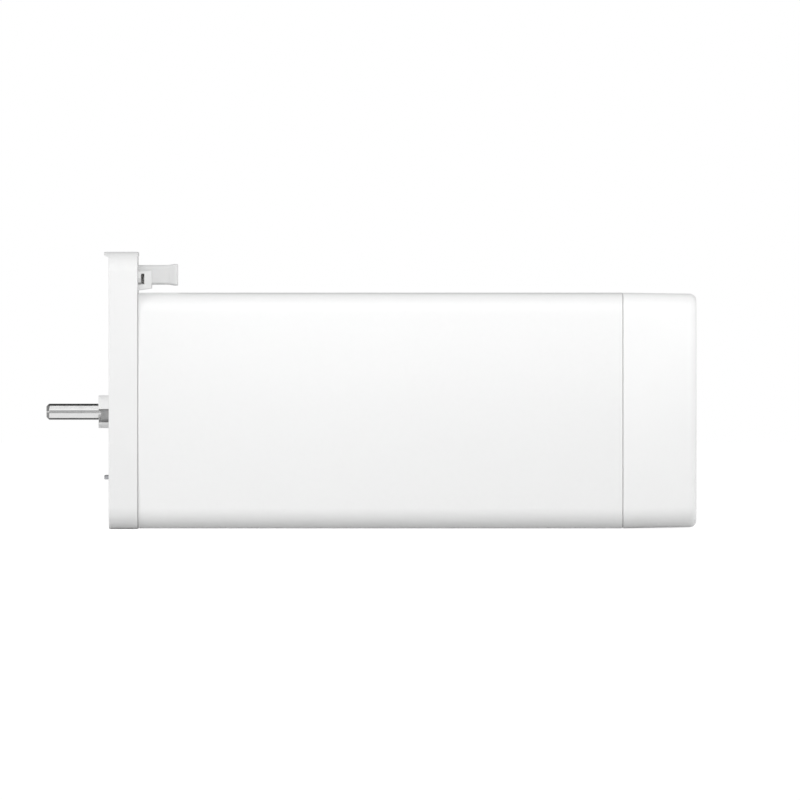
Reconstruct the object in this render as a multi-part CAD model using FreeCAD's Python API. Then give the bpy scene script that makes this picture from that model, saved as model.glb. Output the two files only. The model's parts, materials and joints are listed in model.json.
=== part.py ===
import FreeCAD, Part
import math
import os

# Curtain motor, lying on its narrow side. X runs along the drive shaft, from the shaft
# tip (negative) to the end cap (positive). The origin is on the shaft axis in the outer
# face of the head plate. +Z points to the side that carries the latch. Millimetres.

# Clearances
seat_gap = 0.02  # between pieces pressed or glued together
slip_gap = 0.15  # between a lip and the shell it slides into
run_gap = 0.05  # radial, between a journal and its bush
free_gap = 0.4  # between turning faces

# Flat sides that stand for a round surface where it is hidden
small_sides = 8  # screws, posts and their holes
round_sides = 12  # pins, bushes and bores
drum_sides = 32  # motor and gearbox barrels

# Gear train: two planetary stages in one internally toothed ring
gear_module = 0.75
sun_teeth = 12
planet_teeth = 15
planets = 3
pressure_angle = math.radians(25.0)
addendum_modules = 0.8
dedendum_modules = 1.0
flank_gap = 0.08
output_stage_turn = 90.0
input_stage_turn = 30.0
ring_wall = 4.0
gearbox_flange_margin = 0.5
gearbox_flange_corner = 5.0
gearbox_flange_thickness = 3.0
carrier_rim_gap = 0.65
carrier_gap = 0.6
carrier_window_radius = 3.0
output_carrier_thickness = 4.0
output_planet_width = 6.5
middle_carrier_thickness = 3.0
input_planet_width = 5.0
planet_pin_radius = 1.5
gearbox_rear_gap = 0.8
gearbox_screw_radius = 1.0
gearbox_screw_head = 1.9

# Drive shaft, a hexagon outside and a round journal inside
shaft_across_flats = 6.0
shaft_reach = 23.6
shaft_tip_chamfer = 1.0
shaft_edge_radius = 1.0
journal_shoulder = 0.336
journal_step = 1.6
pilot_radius = 1.25
pilot_length = 3.0
bush_wall = 1.15
bush_set_back = 1.0

# Collar around the shaft
collar_wall = 1.15
collar_length = 4.05
collar_base_step = 0.85
collar_foot_step = 1.6
collar_foot_thickness = 1.5
collar_slot_top = 1.0
collar_slot_bottom = 4.0
centre_boss_wall = 2.0

# Body: an extruded sleeve with softly bowed broad sides
body_height = 88.4
body_corner = 8.0
side_bow_radius = 1090.0
body_centre_z = 0.45
sleeve_length = 182.1
sleeve_wall = 2.2
seam_width = 0.5
seam_depth = 0.6

# Head plate
plate_depth = 10.8
plate_proud = 0.35
plate_chamfer = 0.3
skin = 2.5
lip_length = 5.0
lip_thickness = 1.2
lip_corner = 12.0
cavity_gap = 0.45
panel_recess = 0.5
panel_border = 3.0
flange_thickness = 1.4
flange_front = 1.76
flange_back = 1.1
flange_slope = 1.3
flange_edge = 0.8
rib_thickness = 1.6

# Locating pegs
peg_radius = 0.82
peg_proud = 1.73
peg_depth = 2.0
peg_z = -24.6
peg_y = 12.0

# Head screws, through the plate into the gearbox
head_screw_inset = 4.5
head_screw_radius = 1.5
head_screw_head_radius = 2.75
head_screw_head_height = 2.0
counterbore_margin = 0.45
counterbore_depth = 3.0
screw_boss_wall = 3.1
screw_boss_height = 4.9
hex_key_across_flats = 2.5
hex_key_depth = 1.2

# Latch: a squeeze lever on a pin between two cheeks. Heights count from the floor of
# its pocket, and lengths from the outer or the inner face of the head plate.
latch_lift = 0.95
latch_travel = math.radians(12.0)
latch_pivot_out = 3.1
latch_pivot_up = 4.4
latch_pin_radius = 1.0
pocket_side_gap = 0.4
pocket_top_gap = 1.234
pocket_roof = 2.6
bridge_thickness = 1.2
bridge_start = 1.5
bracket_reach = 5.2
bracket_rise = 0.8
cheek_inner = 7.4
cheek_thickness = 1.6
cheek_start = 6.0
cheek_height = 7.0
cheek_end_height = 7.5
pin_blind_depth = 1.0
window_left = 1.2
window_width = 1.2
window_low = 2.3
window_high = 6.2
notch_low = 2.1
notch_high = 4.5
lever_side_gap = 0.2
lever_wall = 1.2
lever_low = 2.2
lever_high = 9.5
lever_reach = 15.0
lever_flare = 0.4
lever_flare_length = 2.8
lever_end_wall = 1.8
lever_rim = 0.45
hub_radius = 2.3
nose_start = 2.6
nose_half_width = 5.0
nose_drop = 1.2
nose_hook_length = 2.4
nose_hook_low = 5.7
stop_foot_gap = 0.3
stop_foot_start = 6.5
stop_foot_length = 2.4

# Latch spring
spring_wire = 0.7
spring_radius = 1.7
spring_pitch = 1.3
spring_turns = 2
spring_sides = 6
spring_cheek_gap = 0.45
spring_hub_gap = 0.38
spring_wall_gap = 0.3
spring_low_leg = 1.4
spring_high_leg = 5.1
spring_seat_gap = 0.05

# Motor
mount_plate_thickness = 3.0
motor_radius = 18.0
motor_length = 50.0
can_wall = 1.4
can_front = 1.6
can_boss_wall = 2.4
can_boss_length = 1.8
motor_shaft_radius = 1.6
motor_bush_wall = 2.35
magnet_thickness = 2.3
magnet_overhang = 3.0
magnet_half_gap = 7.5
air_gap = 0.48
armature_front = 9.5
armature_slots = 5
slot_radius = 2.9
slot_bridge = 1.6
slot_mouth = 1.6
winding_end = 5.0
winding_inner = 5.6
commutator_radius = 4.2
commutator_length = 6.5
commutator_gap = 0.6
brush_width = 4.0
brush_length = 6.0
end_bell_thickness = 2.5
end_bell_boss = 3.0
encoder_magnet_radius = 7.0
encoder_magnet_length = 4.0
encoder_post_radius = 1.4
encoder_gap = 1.4
motor_screw_circle = 12.5
motor_screw_radius = 1.25
motor_screw_head = 2.3
terminal_y = 5.0
terminal_z = 13.5
terminal_width = 3.0
terminal_length = 5.5
lead_half = 0.7
lead_bend = 3.0
damper_thickness = 5.0
damper_wall = 3.5
damper_corner = 7.0
damper_front = 7.5
damper_rear = 5.0

# Chassis and boards behind the motor
board_thickness = 1.6
chassis_gap = 0.3
chassis_clearance = 2.6
chassis_wall = 2.5
chassis_rail = 1.6
chassis_rail_gap = 0.9
chassis_rail_half_height = 28.0
chassis_window = 17.0
rail_window_length = 24.0
rail_window_half = 12.0
ledge_depth = 2.0
ledge_thickness = 1.5
board_level = 20.4
board_gap = 2.0
pillar_radius = 4.5
transformer_length = 24.0
transformer_width = 22.0
transformer_height = 18.0
transformer_step = 3.0
capacitor_radius = 7.5
capacitor_length = 26.0
radio_length = 20.0
radio_width = 16.0
radio_card = 0.8
radio_can_length = 13.0
radio_can_height = 2.4
relay_length = 15.0
relay_width = 10.0
relay_height = 10.0
part_gap = 3.0

# End cap and its connections
cap_length = 27.6
cap_draft = 0.4
cap_edge_radius = 2.6
cap_edge_steps = 4
cap_root = 2.0
end_wall = 2.2
cap_screw_inset = 8.6
cap_screw_radius = 1.5
cap_screw_head_radius = 2.75
cap_screw_head_height = 2.0
cap_tube_margin = 0.55
cap_tube_wall = 1.5
cap_tube_end = 6.1
cap_tube_floor = 2.5
cap_screw_length = 12.0
port_window_corner = 4.0
window_overlap = 1.9
socket_plate_inset = 6.0
socket_plate_thickness = 2.0
stake_radius = 1.2
stake_inset = 2.8
stake_z = 12.0
stake_proud = 1.2
stake_window_gap = 2.0
port_depth = 13.3
port_post_radius = 2.4
port_post_inset_y = 3.5
port_post_inset_z = 6.4
port_screw_radius = 1.0
port_screw_head_radius = 1.9
port_screw_head_height = 1.4
port_screw_length = 7.0
inlet_inset = 14.4
inlet_width = 15.2
inlet_height = 9.0
inlet_depth = 11.0
inlet_wall = 1.8
inlet_pin_radius = 1.2
inlet_pin_pitch = 8.6
inlet_pin_length = 9.0
data_above = 4.0
data_width = 11.8
data_height = 8.2
data_depth = 11.0
data_wall = 1.7
data_key_width = 5.6
data_key_height = 1.5
button_y = -6.0
button_inset = 10.4
button_radius = 3.25
button_proud = 0.9
button_flange_step = 1.15
button_flange_thickness = 1.1
button_stem_radius = 1.5
button_travel = 0.6
switch_size = 6.0
switch_height = 3.6
plunger_radius = 1.75
plunger_margin = 0.3
light_y = 6.0
light_radius = 1.5
light_proud = 0.3
light_gap = 3.0

# Gear sizes
ring_teeth = sun_teeth + 2 * planet_teeth
addendum = addendum_modules * gear_module
dedendum = dedendum_modules * gear_module
sun_pitch = gear_module * sun_teeth / 2
planet_pitch = gear_module * planet_teeth / 2
ring_pitch = gear_module * ring_teeth / 2
planet_circle = sun_pitch + planet_pitch
half_pitch_width = math.pi * gear_module / 2
gearbox_radius = ring_pitch + dedendum + ring_wall
gearbox_screw_circle = ring_pitch + dedendum + ring_wall / 2
gearbox_flange_half = gearbox_radius + gearbox_flange_margin
carrier_radius = ring_pitch - addendum - carrier_rim_gap

# Sizes that follow the shaft
journal_radius = shaft_across_flats / math.sqrt(3) + journal_shoulder
bush_outer_radius = journal_radius + run_gap + bush_wall
collar_radius = bush_outer_radius + collar_wall
collar_base_radius = collar_radius + collar_base_step
collar_foot_radius = collar_base_radius + collar_foot_step

# Body width, from the gearbox outwards
body_width = 2 * (gearbox_flange_half + cavity_gap + lip_thickness + slip_gap + sleeve_wall)
body_top = body_centre_z + body_height / 2
plate_half_width = body_width / 2 + plate_proud
plate_bottom = body_centre_z - body_height / 2 - plate_proud
plate_corner = body_corner + plate_proud
head_screw_offset = gearbox_flange_half - head_screw_inset
cavity_inset = sleeve_wall + slip_gap + lip_thickness
side_bow = side_bow_radius - math.sqrt(side_bow_radius ** 2 - (body_height / 2 - body_corner) ** 2)

# Latch heights and places
pocket_bottom = body_top + latch_lift
latch_pivot_x = plate_depth + latch_pivot_out
latch_pivot_z = pocket_bottom + latch_pivot_up
lever_bottom = pocket_bottom + lever_low
lever_top = pocket_bottom + lever_high
roof_under = lever_top - lever_wall
nose_top = lever_top - nose_drop
nose_lift = (latch_pivot_x - nose_start) * math.sin(latch_travel)
nose_lift += (nose_top - latch_pivot_z) * math.cos(latch_travel)
pocket_top = latch_pivot_z + nose_lift + pocket_top_gap
plate_rise = pocket_top + pocket_roof
cheek_outer = cheek_inner + cheek_thickness
pocket_half_width = cheek_outer + pocket_side_gap
lever_half_width = cheek_inner - lever_side_gap
bridge_top = pocket_bottom + bridge_thickness

# Motor sizes
motor_bush_radius = motor_shaft_radius + run_gap + motor_bush_wall
can_boss_radius = motor_bush_radius + can_boss_wall
magnet_outer = motor_radius - can_wall - seat_gap
armature_radius = magnet_outer - magnet_thickness - air_gap
armature_rear = winding_end + free_gap + commutator_length + commutator_gap
slot_circle = armature_radius - slot_bridge - slot_radius
winding_outer = slot_circle + slot_radius

# Stations along the shaft axis
sleeve_x = plate_depth
cap_x = sleeve_x + sleeve_length
cap_end = cap_x + cap_length
gearbox_x = skin + screw_boss_height
ring_x = gearbox_x + gearbox_flange_thickness
output_carrier_x = ring_x + carrier_gap
output_planet_x = output_carrier_x + output_carrier_thickness + free_gap
middle_carrier_x = output_planet_x + output_planet_width + free_gap
input_planet_x = middle_carrier_x + middle_carrier_thickness + free_gap
mount_x = input_planet_x + input_planet_width + gearbox_rear_gap
can_x = mount_x + mount_plate_thickness
can_end = can_x + motor_length
core_x = can_x + armature_front
core_end = can_end - armature_rear
commutator_x = core_end + winding_end + free_gap
bell_end = can_end + end_bell_thickness
encoder_x = bell_end + end_bell_boss + free_gap
encoder_board_x = encoder_x + encoder_magnet_length + encoder_gap
encoder_post_y = encoder_magnet_radius + encoder_post_radius + free_gap
chassis_start = encoder_board_x + board_thickness + chassis_clearance
board_x = chassis_start + chassis_wall + board_gap
pillar_start = cap_x - lip_length - chassis_wall
board_end = pillar_start - board_gap
board_half_width = body_width / 2 - sleeve_wall - chassis_rail_gap - chassis_rail
panel_x = cap_end - end_wall
socket_plate_x = panel_x - socket_plate_thickness
port_x = socket_plate_x - port_depth
port_board_x = port_x - board_thickness
tube_floor_x = cap_x + cap_tube_end
chassis_end = tube_floor_x - cap_tube_floor

# End panel sizes, outwards from the window or inwards from the screws
cap_screw_offset = body_height / 2 - cap_screw_inset
cap_tube_bore = cap_screw_head_radius + cap_tube_margin
cap_tube_radius = cap_tube_bore + cap_tube_wall
socket_plate_half_height = cap_screw_offset - cap_tube_radius - free_gap
socket_plate_half_width = body_width / 2 - socket_plate_inset
stake_y = socket_plate_half_width - stake_inset
port_window_half_width = stake_y - stake_radius - stake_window_gap
port_window_half_height = socket_plate_half_height - window_overlap
port_post_y = socket_plate_half_width - port_post_inset_y
port_post_z = socket_plate_half_height - port_post_inset_z
inlet_z = body_centre_z - socket_plate_half_height + inlet_inset
data_z = body_centre_z + data_above
button_z = body_centre_z + socket_plate_half_height - button_inset
button_flange = button_radius + button_flange_step
plunger_proud = button_travel + plunger_margin


def polar(radius, degrees):
    """A point in the YZ plane, counted from +Y towards +Z."""
    angle = math.radians(degrees)
    return radius * math.cos(angle), radius * math.sin(angle)


def block(x0, x1, y0, y1, z0, z1):
    corner = FreeCAD.Vector(x0, y0, z0)
    return Part.makeBox(x1 - x0, y1 - y0, z1 - z0, corner)


def rounded_block(x0, x1, half_width, z0, z1, radius, y=0.0):
    """A block whose four edges along X are rounded."""
    body = block(x0, x1, y - half_width, y + half_width, z0, z1)
    along_x = [edge for edge in body.Edges if abs(edge.tangentAt(edge.FirstParameter).x) > 0.9]
    return body.makeFillet(radius, along_x)


def rod(radius, x0, x1, y=0.0, z=0.0):
    """A round bar along X."""
    return Part.makeCylinder(radius, x1 - x0, FreeCAD.Vector(x0, y, z), FreeCAD.Vector(1, 0, 0))


def prism(sides, radius, x0, x1, y=0.0, z=0.0):
    """A bar along X with flat sides and its corners on the radius."""
    corners = []
    for side in range(sides + 1):
        dy, dz = polar(radius, 360.0 * side / sides)
        corners.append(FreeCAD.Vector(x0, y + dy, z + dz))
    return Part.Face(Part.makePolygon(corners)).extrude(FreeCAD.Vector(x1 - x0, 0, 0))


def hexagon(across_flats, x0, x1, y=0.0, z=0.0):
    """A hexagonal bar along X with flats above and below."""
    return prism(6, across_flats / math.sqrt(3), x0, x1, y, z)


def soft_hexagon(x, across_flats, edge_radius):
    """A hexagon's outline at x with rounded corners, the first of them on the +Y side."""
    corner_centre = across_flats / math.sqrt(3) - edge_radius / math.cos(math.pi / 6)
    edges = []
    last = None
    for side in range(7):
        centre_y, centre_z = polar(corner_centre, 60.0 * side)
        points = []
        for turn in (-30.0, 0.0, 30.0):
            dy, dz = polar(edge_radius, 60.0 * side + turn)
            points.append(FreeCAD.Vector(x, centre_y + dy, centre_z + dz))
        if last:
            edges.append(Part.LineSegment(last, points[0]).toShape())
        if side < 6:
            edges.append(Part.Arc(*points).toShape())
        last = points[2]
    return Part.Wire(edges)


def stud(radius, x0, x1, y=0.0, z=0.0):
    return prism(small_sides, radius, x0, x1, y, z)


def cross_pin(radius, y0, y1, x, z):
    """A pin along Y."""
    pin = running_pin(radius, y0, y1)
    pin.rotate(FreeCAD.Vector(0, 0, 0), FreeCAD.Vector(0, 0, 1), 90)
    pin.translate(FreeCAD.Vector(x, 0, z))
    return pin


def drum(radius, x0, x1):
    return prism(drum_sides, radius, x0, x1)


def bore(radius, x0, x1, y=0.0, z=0.0):
    """A hole whose flats clear the radius, so that a pin of that radius turns in it."""
    return prism(round_sides, radius / math.cos(math.pi / round_sides), x0, x1, y, z)


def running_pin(radius, x0, x1, y=0.0, z=0.0):
    return prism(round_sides, radius, x0, x1, y, z)


def tube(outer, inner, x0, x1):
    """A short bush on the shaft axis, round inside and out."""
    return running_pin(outer, x0, x1).cut(bore(inner, x0, x1))


def sunk_screw(radius, head_radius, x0, x1, y, z):
    """Cheese head flush at x0, shank to x1, both along X."""
    head = stud(head_radius, x0, x0 + radius, y, z)
    return head.fuse(stud(radius, x0 + radius, x1, y, z))


def cut_corner_block(x0, x1, half_width, z0, z1, cut):
    """A block whose four edges along X are cut off."""
    outline = [
        (-half_width + cut, z0), (half_width - cut, z0), (half_width, z0 + cut), (half_width, z1 - cut),
        (half_width - cut, z1), (-half_width + cut, z1), (-half_width, z1 - cut), (-half_width, z0 + cut)]
    corners = [FreeCAD.Vector(x0, y, z) for y, z in outline + outline[:1]]
    return Part.Face(Part.makePolygon(corners)).extrude(FreeCAD.Vector(x1 - x0, 0, 0))


def stadium(x0, x1, width, height, z):
    """A bar along X with straight top and bottom and half-round sides."""
    end_y = (width - height) / 2
    middle = block(x0, x1, -end_y, end_y, z - height / 2, z + height / 2)
    ends = [prism(drum_sides, height / 2, x0, x1, y, z) for y in (-end_y, end_y)]
    return fuse_all([middle] + ends)


def side_profile(points, y0, y1):
    """A solid from an outline of (x, z) points, carried from y0 to y1."""
    corners = [FreeCAD.Vector(x, y0, z) for x, z in points]
    corners.append(corners[0])
    return Part.Face(Part.makePolygon(corners)).extrude(FreeCAD.Vector(0, y1 - y0, 0))


def turned(solid, degrees):
    """The solid turned about the shaft axis."""
    solid.rotate(FreeCAD.Vector(0, 0, 0), FreeCAD.Vector(1, 0, 0), degrees)
    return solid


def fuse_all(solids):
    return solids[0].multiFuse(solids[1:]).removeSplitter()


def save(name, *solids):
    shape = solids[0]
    if len(solids) > 1:
        shape = Part.makeCompound(list(solids))
    if not shape.isValid():
        raise RuntimeError("invalid solid in " + name)
    shape.exportStep("parts/" + name + ".step")


def sleeve_wire(x, inset, draft=0.0):
    """The body's outline at x, drawn in by inset: bowed sides, flat ends, round corners.

    The corners keep their radius over the part of the inset that is draft."""
    half_width = body_width / 2 - inset
    half_height = body_height / 2 - inset
    corner = body_corner - inset + draft
    bow = side_bow_radius - inset
    bow_y = half_width - bow
    corner_z = half_height - corner
    corner_y = bow_y + math.sqrt((bow - corner) ** 2 - corner_z ** 2)
    slope = math.atan2(corner_z, corner_y - bow_y)
    middle = (slope + math.pi / 2) / 2
    side_y = bow_y + bow * math.cos(slope)
    side_z = bow * math.sin(slope)
    knee_y = corner_y + corner * math.cos(middle)
    knee_z = corner_z + corner * math.sin(middle)

    def point(y, z):
        return FreeCAD.Vector(x, y, body_centre_z + z)

    edges = [
        Part.LineSegment(point(-corner_y, half_height), point(corner_y, half_height)),
        Part.Arc(point(corner_y, half_height), point(knee_y, knee_z), point(side_y, side_z)),
        Part.Arc(point(side_y, side_z), point(half_width, 0), point(side_y, -side_z)),
        Part.Arc(point(side_y, -side_z), point(knee_y, -knee_z), point(corner_y, -half_height)),
        Part.LineSegment(point(corner_y, -half_height), point(-corner_y, -half_height)),
        Part.Arc(point(-corner_y, -half_height), point(-knee_y, -knee_z), point(-side_y, -side_z)),
        Part.Arc(point(-side_y, -side_z), point(-half_width, 0), point(-side_y, side_z)),
        Part.Arc(point(-side_y, side_z), point(-knee_y, knee_z), point(-corner_y, half_height)),
    ]
    return Part.Wire([edge.toShape() for edge in edges])


def sleeve_core(x0, x1, inset):
    """A solid that fills the body's outline, drawn in by inset."""
    return Part.Face(sleeve_wire(x0, inset)).extrude(FreeCAD.Vector(x1 - x0, 0, 0))


def sleeve_ring(x0, x1, outer_inset, inner_inset):
    return sleeve_core(x0, x1, outer_inset).cut(sleeve_core(x0, x1, inner_inset))


def lip_tongues(x0, x1):
    """Tongues that enter the sleeve along its four sides, with open corners."""
    inset = sleeve_wall + slip_gap
    ring = sleeve_ring(x0, x1, inset, inset + lip_thickness)
    half_width = body_width / 2
    for side_y in (-1, 1):
        for side_z in (-1, 1):
            y0, y1 = sorted((side_y * half_width, side_y * (half_width - lip_corner)))
            z0, z1 = sorted((side_z * body_height / 2, side_z * (body_height / 2 - lip_corner)))
            ring = ring.cut(block(x0, x1, y0, y1, body_centre_z + z0, body_centre_z + z1))
    return ring


def inner_block(x0, x1, inset):
    """A cut-cornered block inside the body's outline, drawn in by inset."""
    return cut_corner_block(x0, x1, body_width / 2 - inset, body_centre_z - body_height / 2 + inset,
                            body_centre_z + body_height / 2 - inset, body_corner / 2)


# Gears

def involute(angle):
    return math.tan(angle) - angle


def gear(teeth, tooth_width, radii, x0, x1, turn, y=0.0, z=0.0):
    """A toothed solid along X. Each flank meets the involute at the given radii."""
    pitch_radius = gear_module * teeth / 2
    base_radius = pitch_radius * math.cos(pressure_angle)

    def half_angle(radius):
        roll = math.acos(min(1.0, base_radius / radius))
        return tooth_width / 2 / pitch_radius + involute(pressure_angle) - involute(roll)

    corners = []
    for tooth in range(teeth):
        middle = turn + 360.0 * tooth / teeth
        rising = [(radius, middle - math.degrees(half_angle(radius))) for radius in radii]
        falling = [(radius, middle + math.degrees(half_angle(radius))) for radius in reversed(radii)]
        for radius, degrees in rising + falling:
            dy, dz = polar(radius, degrees)
            corners.append(FreeCAD.Vector(x0, y + dy, z + dz))
    corners.append(corners[0])
    return Part.Face(Part.makePolygon(corners)).extrude(FreeCAD.Vector(x1 - x0, 0, 0))


def planet_turn(place):
    """Turn that puts a gap of the planet at this place over the nearest ring tooth.

    The ring has a tooth on the +Y axis, so its teeth lie whole pitches from there."""
    ring_offset = -place * ring_teeth / 360.0
    return place + (ring_offset - 0.5) * 360.0 / planet_teeth


def sun_turn(place):
    """Turn that meshes a stage's sun with its planet at this place."""
    planet_offset = (planet_turn(place) - place - 180.0) * planet_teeth / 360.0
    return place + (0.5 - planet_offset) * 360.0 / sun_teeth


def sun_gear(x0, x1, stage_turn):
    width = half_pitch_width - flank_gap
    radii = [sun_pitch - dedendum, sun_pitch, sun_pitch + addendum]
    return gear(sun_teeth, width, radii, x0, x1, sun_turn(stage_turn))


def planet_places(stage_turn):
    """Angle and centre of each planet of a stage."""
    places = []
    for number in range(planets):
        degrees = stage_turn + 360.0 * number / planets
        places.append((degrees,) + polar(planet_circle, degrees))
    return places


def planet_gears(x0, width, stage_turn):
    tooth = half_pitch_width - flank_gap
    radii = [planet_pitch - dedendum, planet_pitch, planet_pitch + addendum]
    solids = []
    for degrees, y, z in planet_places(stage_turn):
        wheel = gear(planet_teeth, tooth, radii, x0, x0 + width, planet_turn(degrees), y, z)
        solids.append(wheel.cut(bore(planet_pin_radius + run_gap, x0, x0 + width, y, z)))
    return solids


def planet_pins(x0, x1, stage_turn):
    return [running_pin(planet_pin_radius, x0, x1, y, z) for degrees, y, z in planet_places(stage_turn)]


def pin_holes(x0, x1, stage_turn):
    radius = planet_pin_radius + seat_gap
    return [running_pin(radius, x0, x1, y, z) for degrees, y, z in planet_places(stage_turn)]


def gearbox_screw_places():
    return [polar(gearbox_screw_circle, 90.0 * number) for number in range(4)]


def gearbox_ring():
    """Barrel of the gearbox, with teeth all the way through for both stages."""
    ring = drum(gearbox_radius, ring_x, mount_x)
    space = half_pitch_width + flank_gap
    half_pitch_turn = 180.0 / ring_teeth
    radii = [ring_pitch - addendum, ring_pitch + dedendum]
    ring = ring.cut(gear(ring_teeth, space, radii, ring_x, mount_x, half_pitch_turn))
    for y, z in gearbox_screw_places():
        ring = ring.cut(stud(gearbox_screw_radius + seat_gap, ring_x, mount_x, y, z))
    return ring


def gearbox_front_flange():
    """Square plate that closes the gearbox and takes the head screws in its corners."""
    half = gearbox_flange_half
    flange = cut_corner_block(gearbox_x, ring_x, half, -half, half, gearbox_flange_corner)
    flange = flange.cut(running_pin(bush_outer_radius + seat_gap, gearbox_x, ring_x))
    for y, z in gearbox_screw_places():
        hole = sunk_screw(
            gearbox_screw_radius + seat_gap, gearbox_screw_head + seat_gap, gearbox_x, ring_x, y, z)
        flange = flange.cut(hole)
    for y, z in head_screw_places():
        flange = flange.cut(stud(head_screw_radius + seat_gap, gearbox_x, ring_x, y, z))
    return flange


def gearbox_screws():
    end = can_x - free_gap
    return [sunk_screw(gearbox_screw_radius, gearbox_screw_head, gearbox_x, end, y, z)
            for y, z in gearbox_screw_places()]


def output_carrier():
    """Disc on the shaft's inner hexagon, with a window between each two pins."""
    end = output_carrier_x + output_carrier_thickness
    carrier = drum(carrier_radius, output_carrier_x, end)
    carrier = carrier.cut(hexagon(shaft_across_flats + 2 * seat_gap, output_carrier_x, end))
    for hole in pin_holes(output_carrier_x, end, output_stage_turn):
        carrier = carrier.cut(hole)
    for degrees, y, z in planet_places(output_stage_turn + 180.0 / planets):
        carrier = carrier.cut(stud(carrier_window_radius, output_carrier_x, end, y, z))
    return carrier


def middle_carrier():
    """The first stage's planet carrier, in one piece with the second stage's sun."""
    end = middle_carrier_x + middle_carrier_thickness
    carrier = drum(carrier_radius, middle_carrier_x, end)
    for hole in pin_holes(middle_carrier_x, end, input_stage_turn):
        carrier = carrier.cut(hole)
    sun = sun_gear(output_planet_x, middle_carrier_x, output_stage_turn)
    pilot_hole = bore(pilot_radius + run_gap, output_planet_x, output_planet_x + pilot_length)
    return carrier.fuse(sun).removeSplitter().cut(pilot_hole)


def drive_shaft():
    """Hexagonal end, round journal, hexagonal seat for the carrier and a pilot."""
    journal_start = -collar_length + journal_step
    journal_end = ring_x + carrier_gap / 2
    seat_end = output_carrier_x + output_carrier_thickness
    half = shaft_across_flats / 2
    section = soft_hexagon(-shaft_reach, shaft_across_flats, shaft_edge_radius)
    outer_hex = Part.Face(section).extrude(FreeCAD.Vector(journal_start + shaft_reach, 0, 0))
    for side in range(6):
        corner = side_profile([
            (-shaft_reach, half),
            (-shaft_reach + shaft_tip_chamfer, half),
            (-shaft_reach, half - shaft_tip_chamfer)], -half, half)
        outer_hex = outer_hex.cut(turned(corner, 60 * side))
    journal = prism(drum_sides, journal_radius, journal_start, journal_end)
    seat = hexagon(shaft_across_flats, journal_end, seat_end)
    pilot = running_pin(pilot_radius, seat_end, seat_end + pilot_length)
    return fuse_all([outer_hex, journal, seat, pilot])


def output_bush():
    start = -collar_length + bush_set_back
    wall = running_pin(bush_outer_radius, start, ring_x)
    clearance = (journal_radius + run_gap) / math.cos(math.pi / drum_sides)
    return wall.cut(prism(drum_sides, clearance, start, ring_x))


# Head

def head_screw_places():
    offset = head_screw_offset
    return [(offset, offset), (-offset, offset), (-offset, -offset), (offset, -offset)]


def shaft_collar():
    """Slotted spigot with a wider base in the plate and an eight-sided foot that keys it."""
    foot_end = skin + collar_foot_thickness
    collar = fuse_all([
        rod(collar_radius, -collar_length, panel_recess),
        drum(collar_base_radius, panel_recess, skin),
        stud(collar_foot_radius, skin, foot_end)])
    collar = collar.cut(running_pin(bush_outer_radius + seat_gap, -collar_length, foot_end))
    slot = block(-collar_length, panel_recess, -collar_radius, -bush_outer_radius / 2,
                 -collar_slot_bottom, collar_slot_top)
    return collar.cut(slot)


def top_flange():
    """Lip along the top edge, which hooks over the track's end."""
    half_width = plate_half_width - plate_corner
    under = plate_rise - flange_thickness
    root = plate_rise - pocket_roof / 2
    outline = [
        (-flange_front, plate_rise),
        (plate_depth + flange_back, plate_rise),
        (plate_depth + flange_back, under),
        (plate_depth, under),
        (plate_depth, root - flange_slope),
        (0, root - flange_slope),
        (0, plate_rise - flange_edge - flange_slope),
        (-flange_front, plate_rise - flange_edge),
    ]
    return side_profile(outline, -half_width, half_width)


def plate_ribs():
    """Stiffening ribs from the centre boss to the corner bosses, inside the plate."""
    start = collar_foot_radius + centre_boss_wall / 2
    reach = math.hypot(head_screw_offset, head_screw_offset) - head_screw_radius - seat_gap
    ribs = []
    for number in range(4):
        rib = block(skin, gearbox_x, start, reach, -rib_thickness / 2, rib_thickness / 2)
        ribs.append(turned(rib, 45 + 90 * number))
    return ribs


def head_plate():
    """Moulded plate: hollow behind, with a lip into the sleeve and the latch's pocket."""
    plate = rounded_block(0, plate_depth, plate_half_width, plate_bottom, plate_rise, plate_corner)
    end_faces = [face for face in plate.Faces if abs(face.normalAt(0, 0).x) > 0.9]
    rim_edges = [edge for face in end_faces for edge in face.Edges]
    plate = plate.makeChamfer(plate_chamfer, rim_edges)
    plate = fuse_all([plate, top_flange()])
    plate = plate.cut(inner_block(skin, plate_depth, cavity_inset))
    plate = plate.fuse(lip_tongues(plate_depth - skin, plate_depth + lip_length))
    boss_radius = head_screw_radius + screw_boss_wall
    bosses = [stud(boss_radius, panel_recess, gearbox_x, y, z) for y, z in head_screw_places()]
    bosses.append(stud(collar_foot_radius + centre_boss_wall, panel_recess, gearbox_x))
    plate = fuse_all([plate] + bosses + plate_ribs())
    panel = cut_corner_block(0, panel_recess, plate_half_width - panel_border,
                             plate_bottom + panel_border, body_top - panel_border,
                             (plate_corner - panel_border) / 2)
    plate = plate.cut(panel)
    plate = plate.cut(drum(collar_base_radius + seat_gap, 0, skin))
    plate = plate.cut(stud(collar_foot_radius + seat_gap, skin, gearbox_x))
    counterbore_radius = head_screw_head_radius + counterbore_margin
    for y, z in head_screw_places():
        plate = plate.cut(running_pin(counterbore_radius, 0, counterbore_depth, y, z))
        plate = plate.cut(stud(head_screw_radius + seat_gap, 0, gearbox_x, y, z))
    for y in (-peg_y, peg_y):
        plate = plate.cut(stud(peg_radius + seat_gap, 0, peg_depth, y, peg_z))
    pocket = block(0, plate_depth, -pocket_half_width, pocket_half_width, pocket_bottom, pocket_top)
    return plate.cut(pocket)


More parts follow.
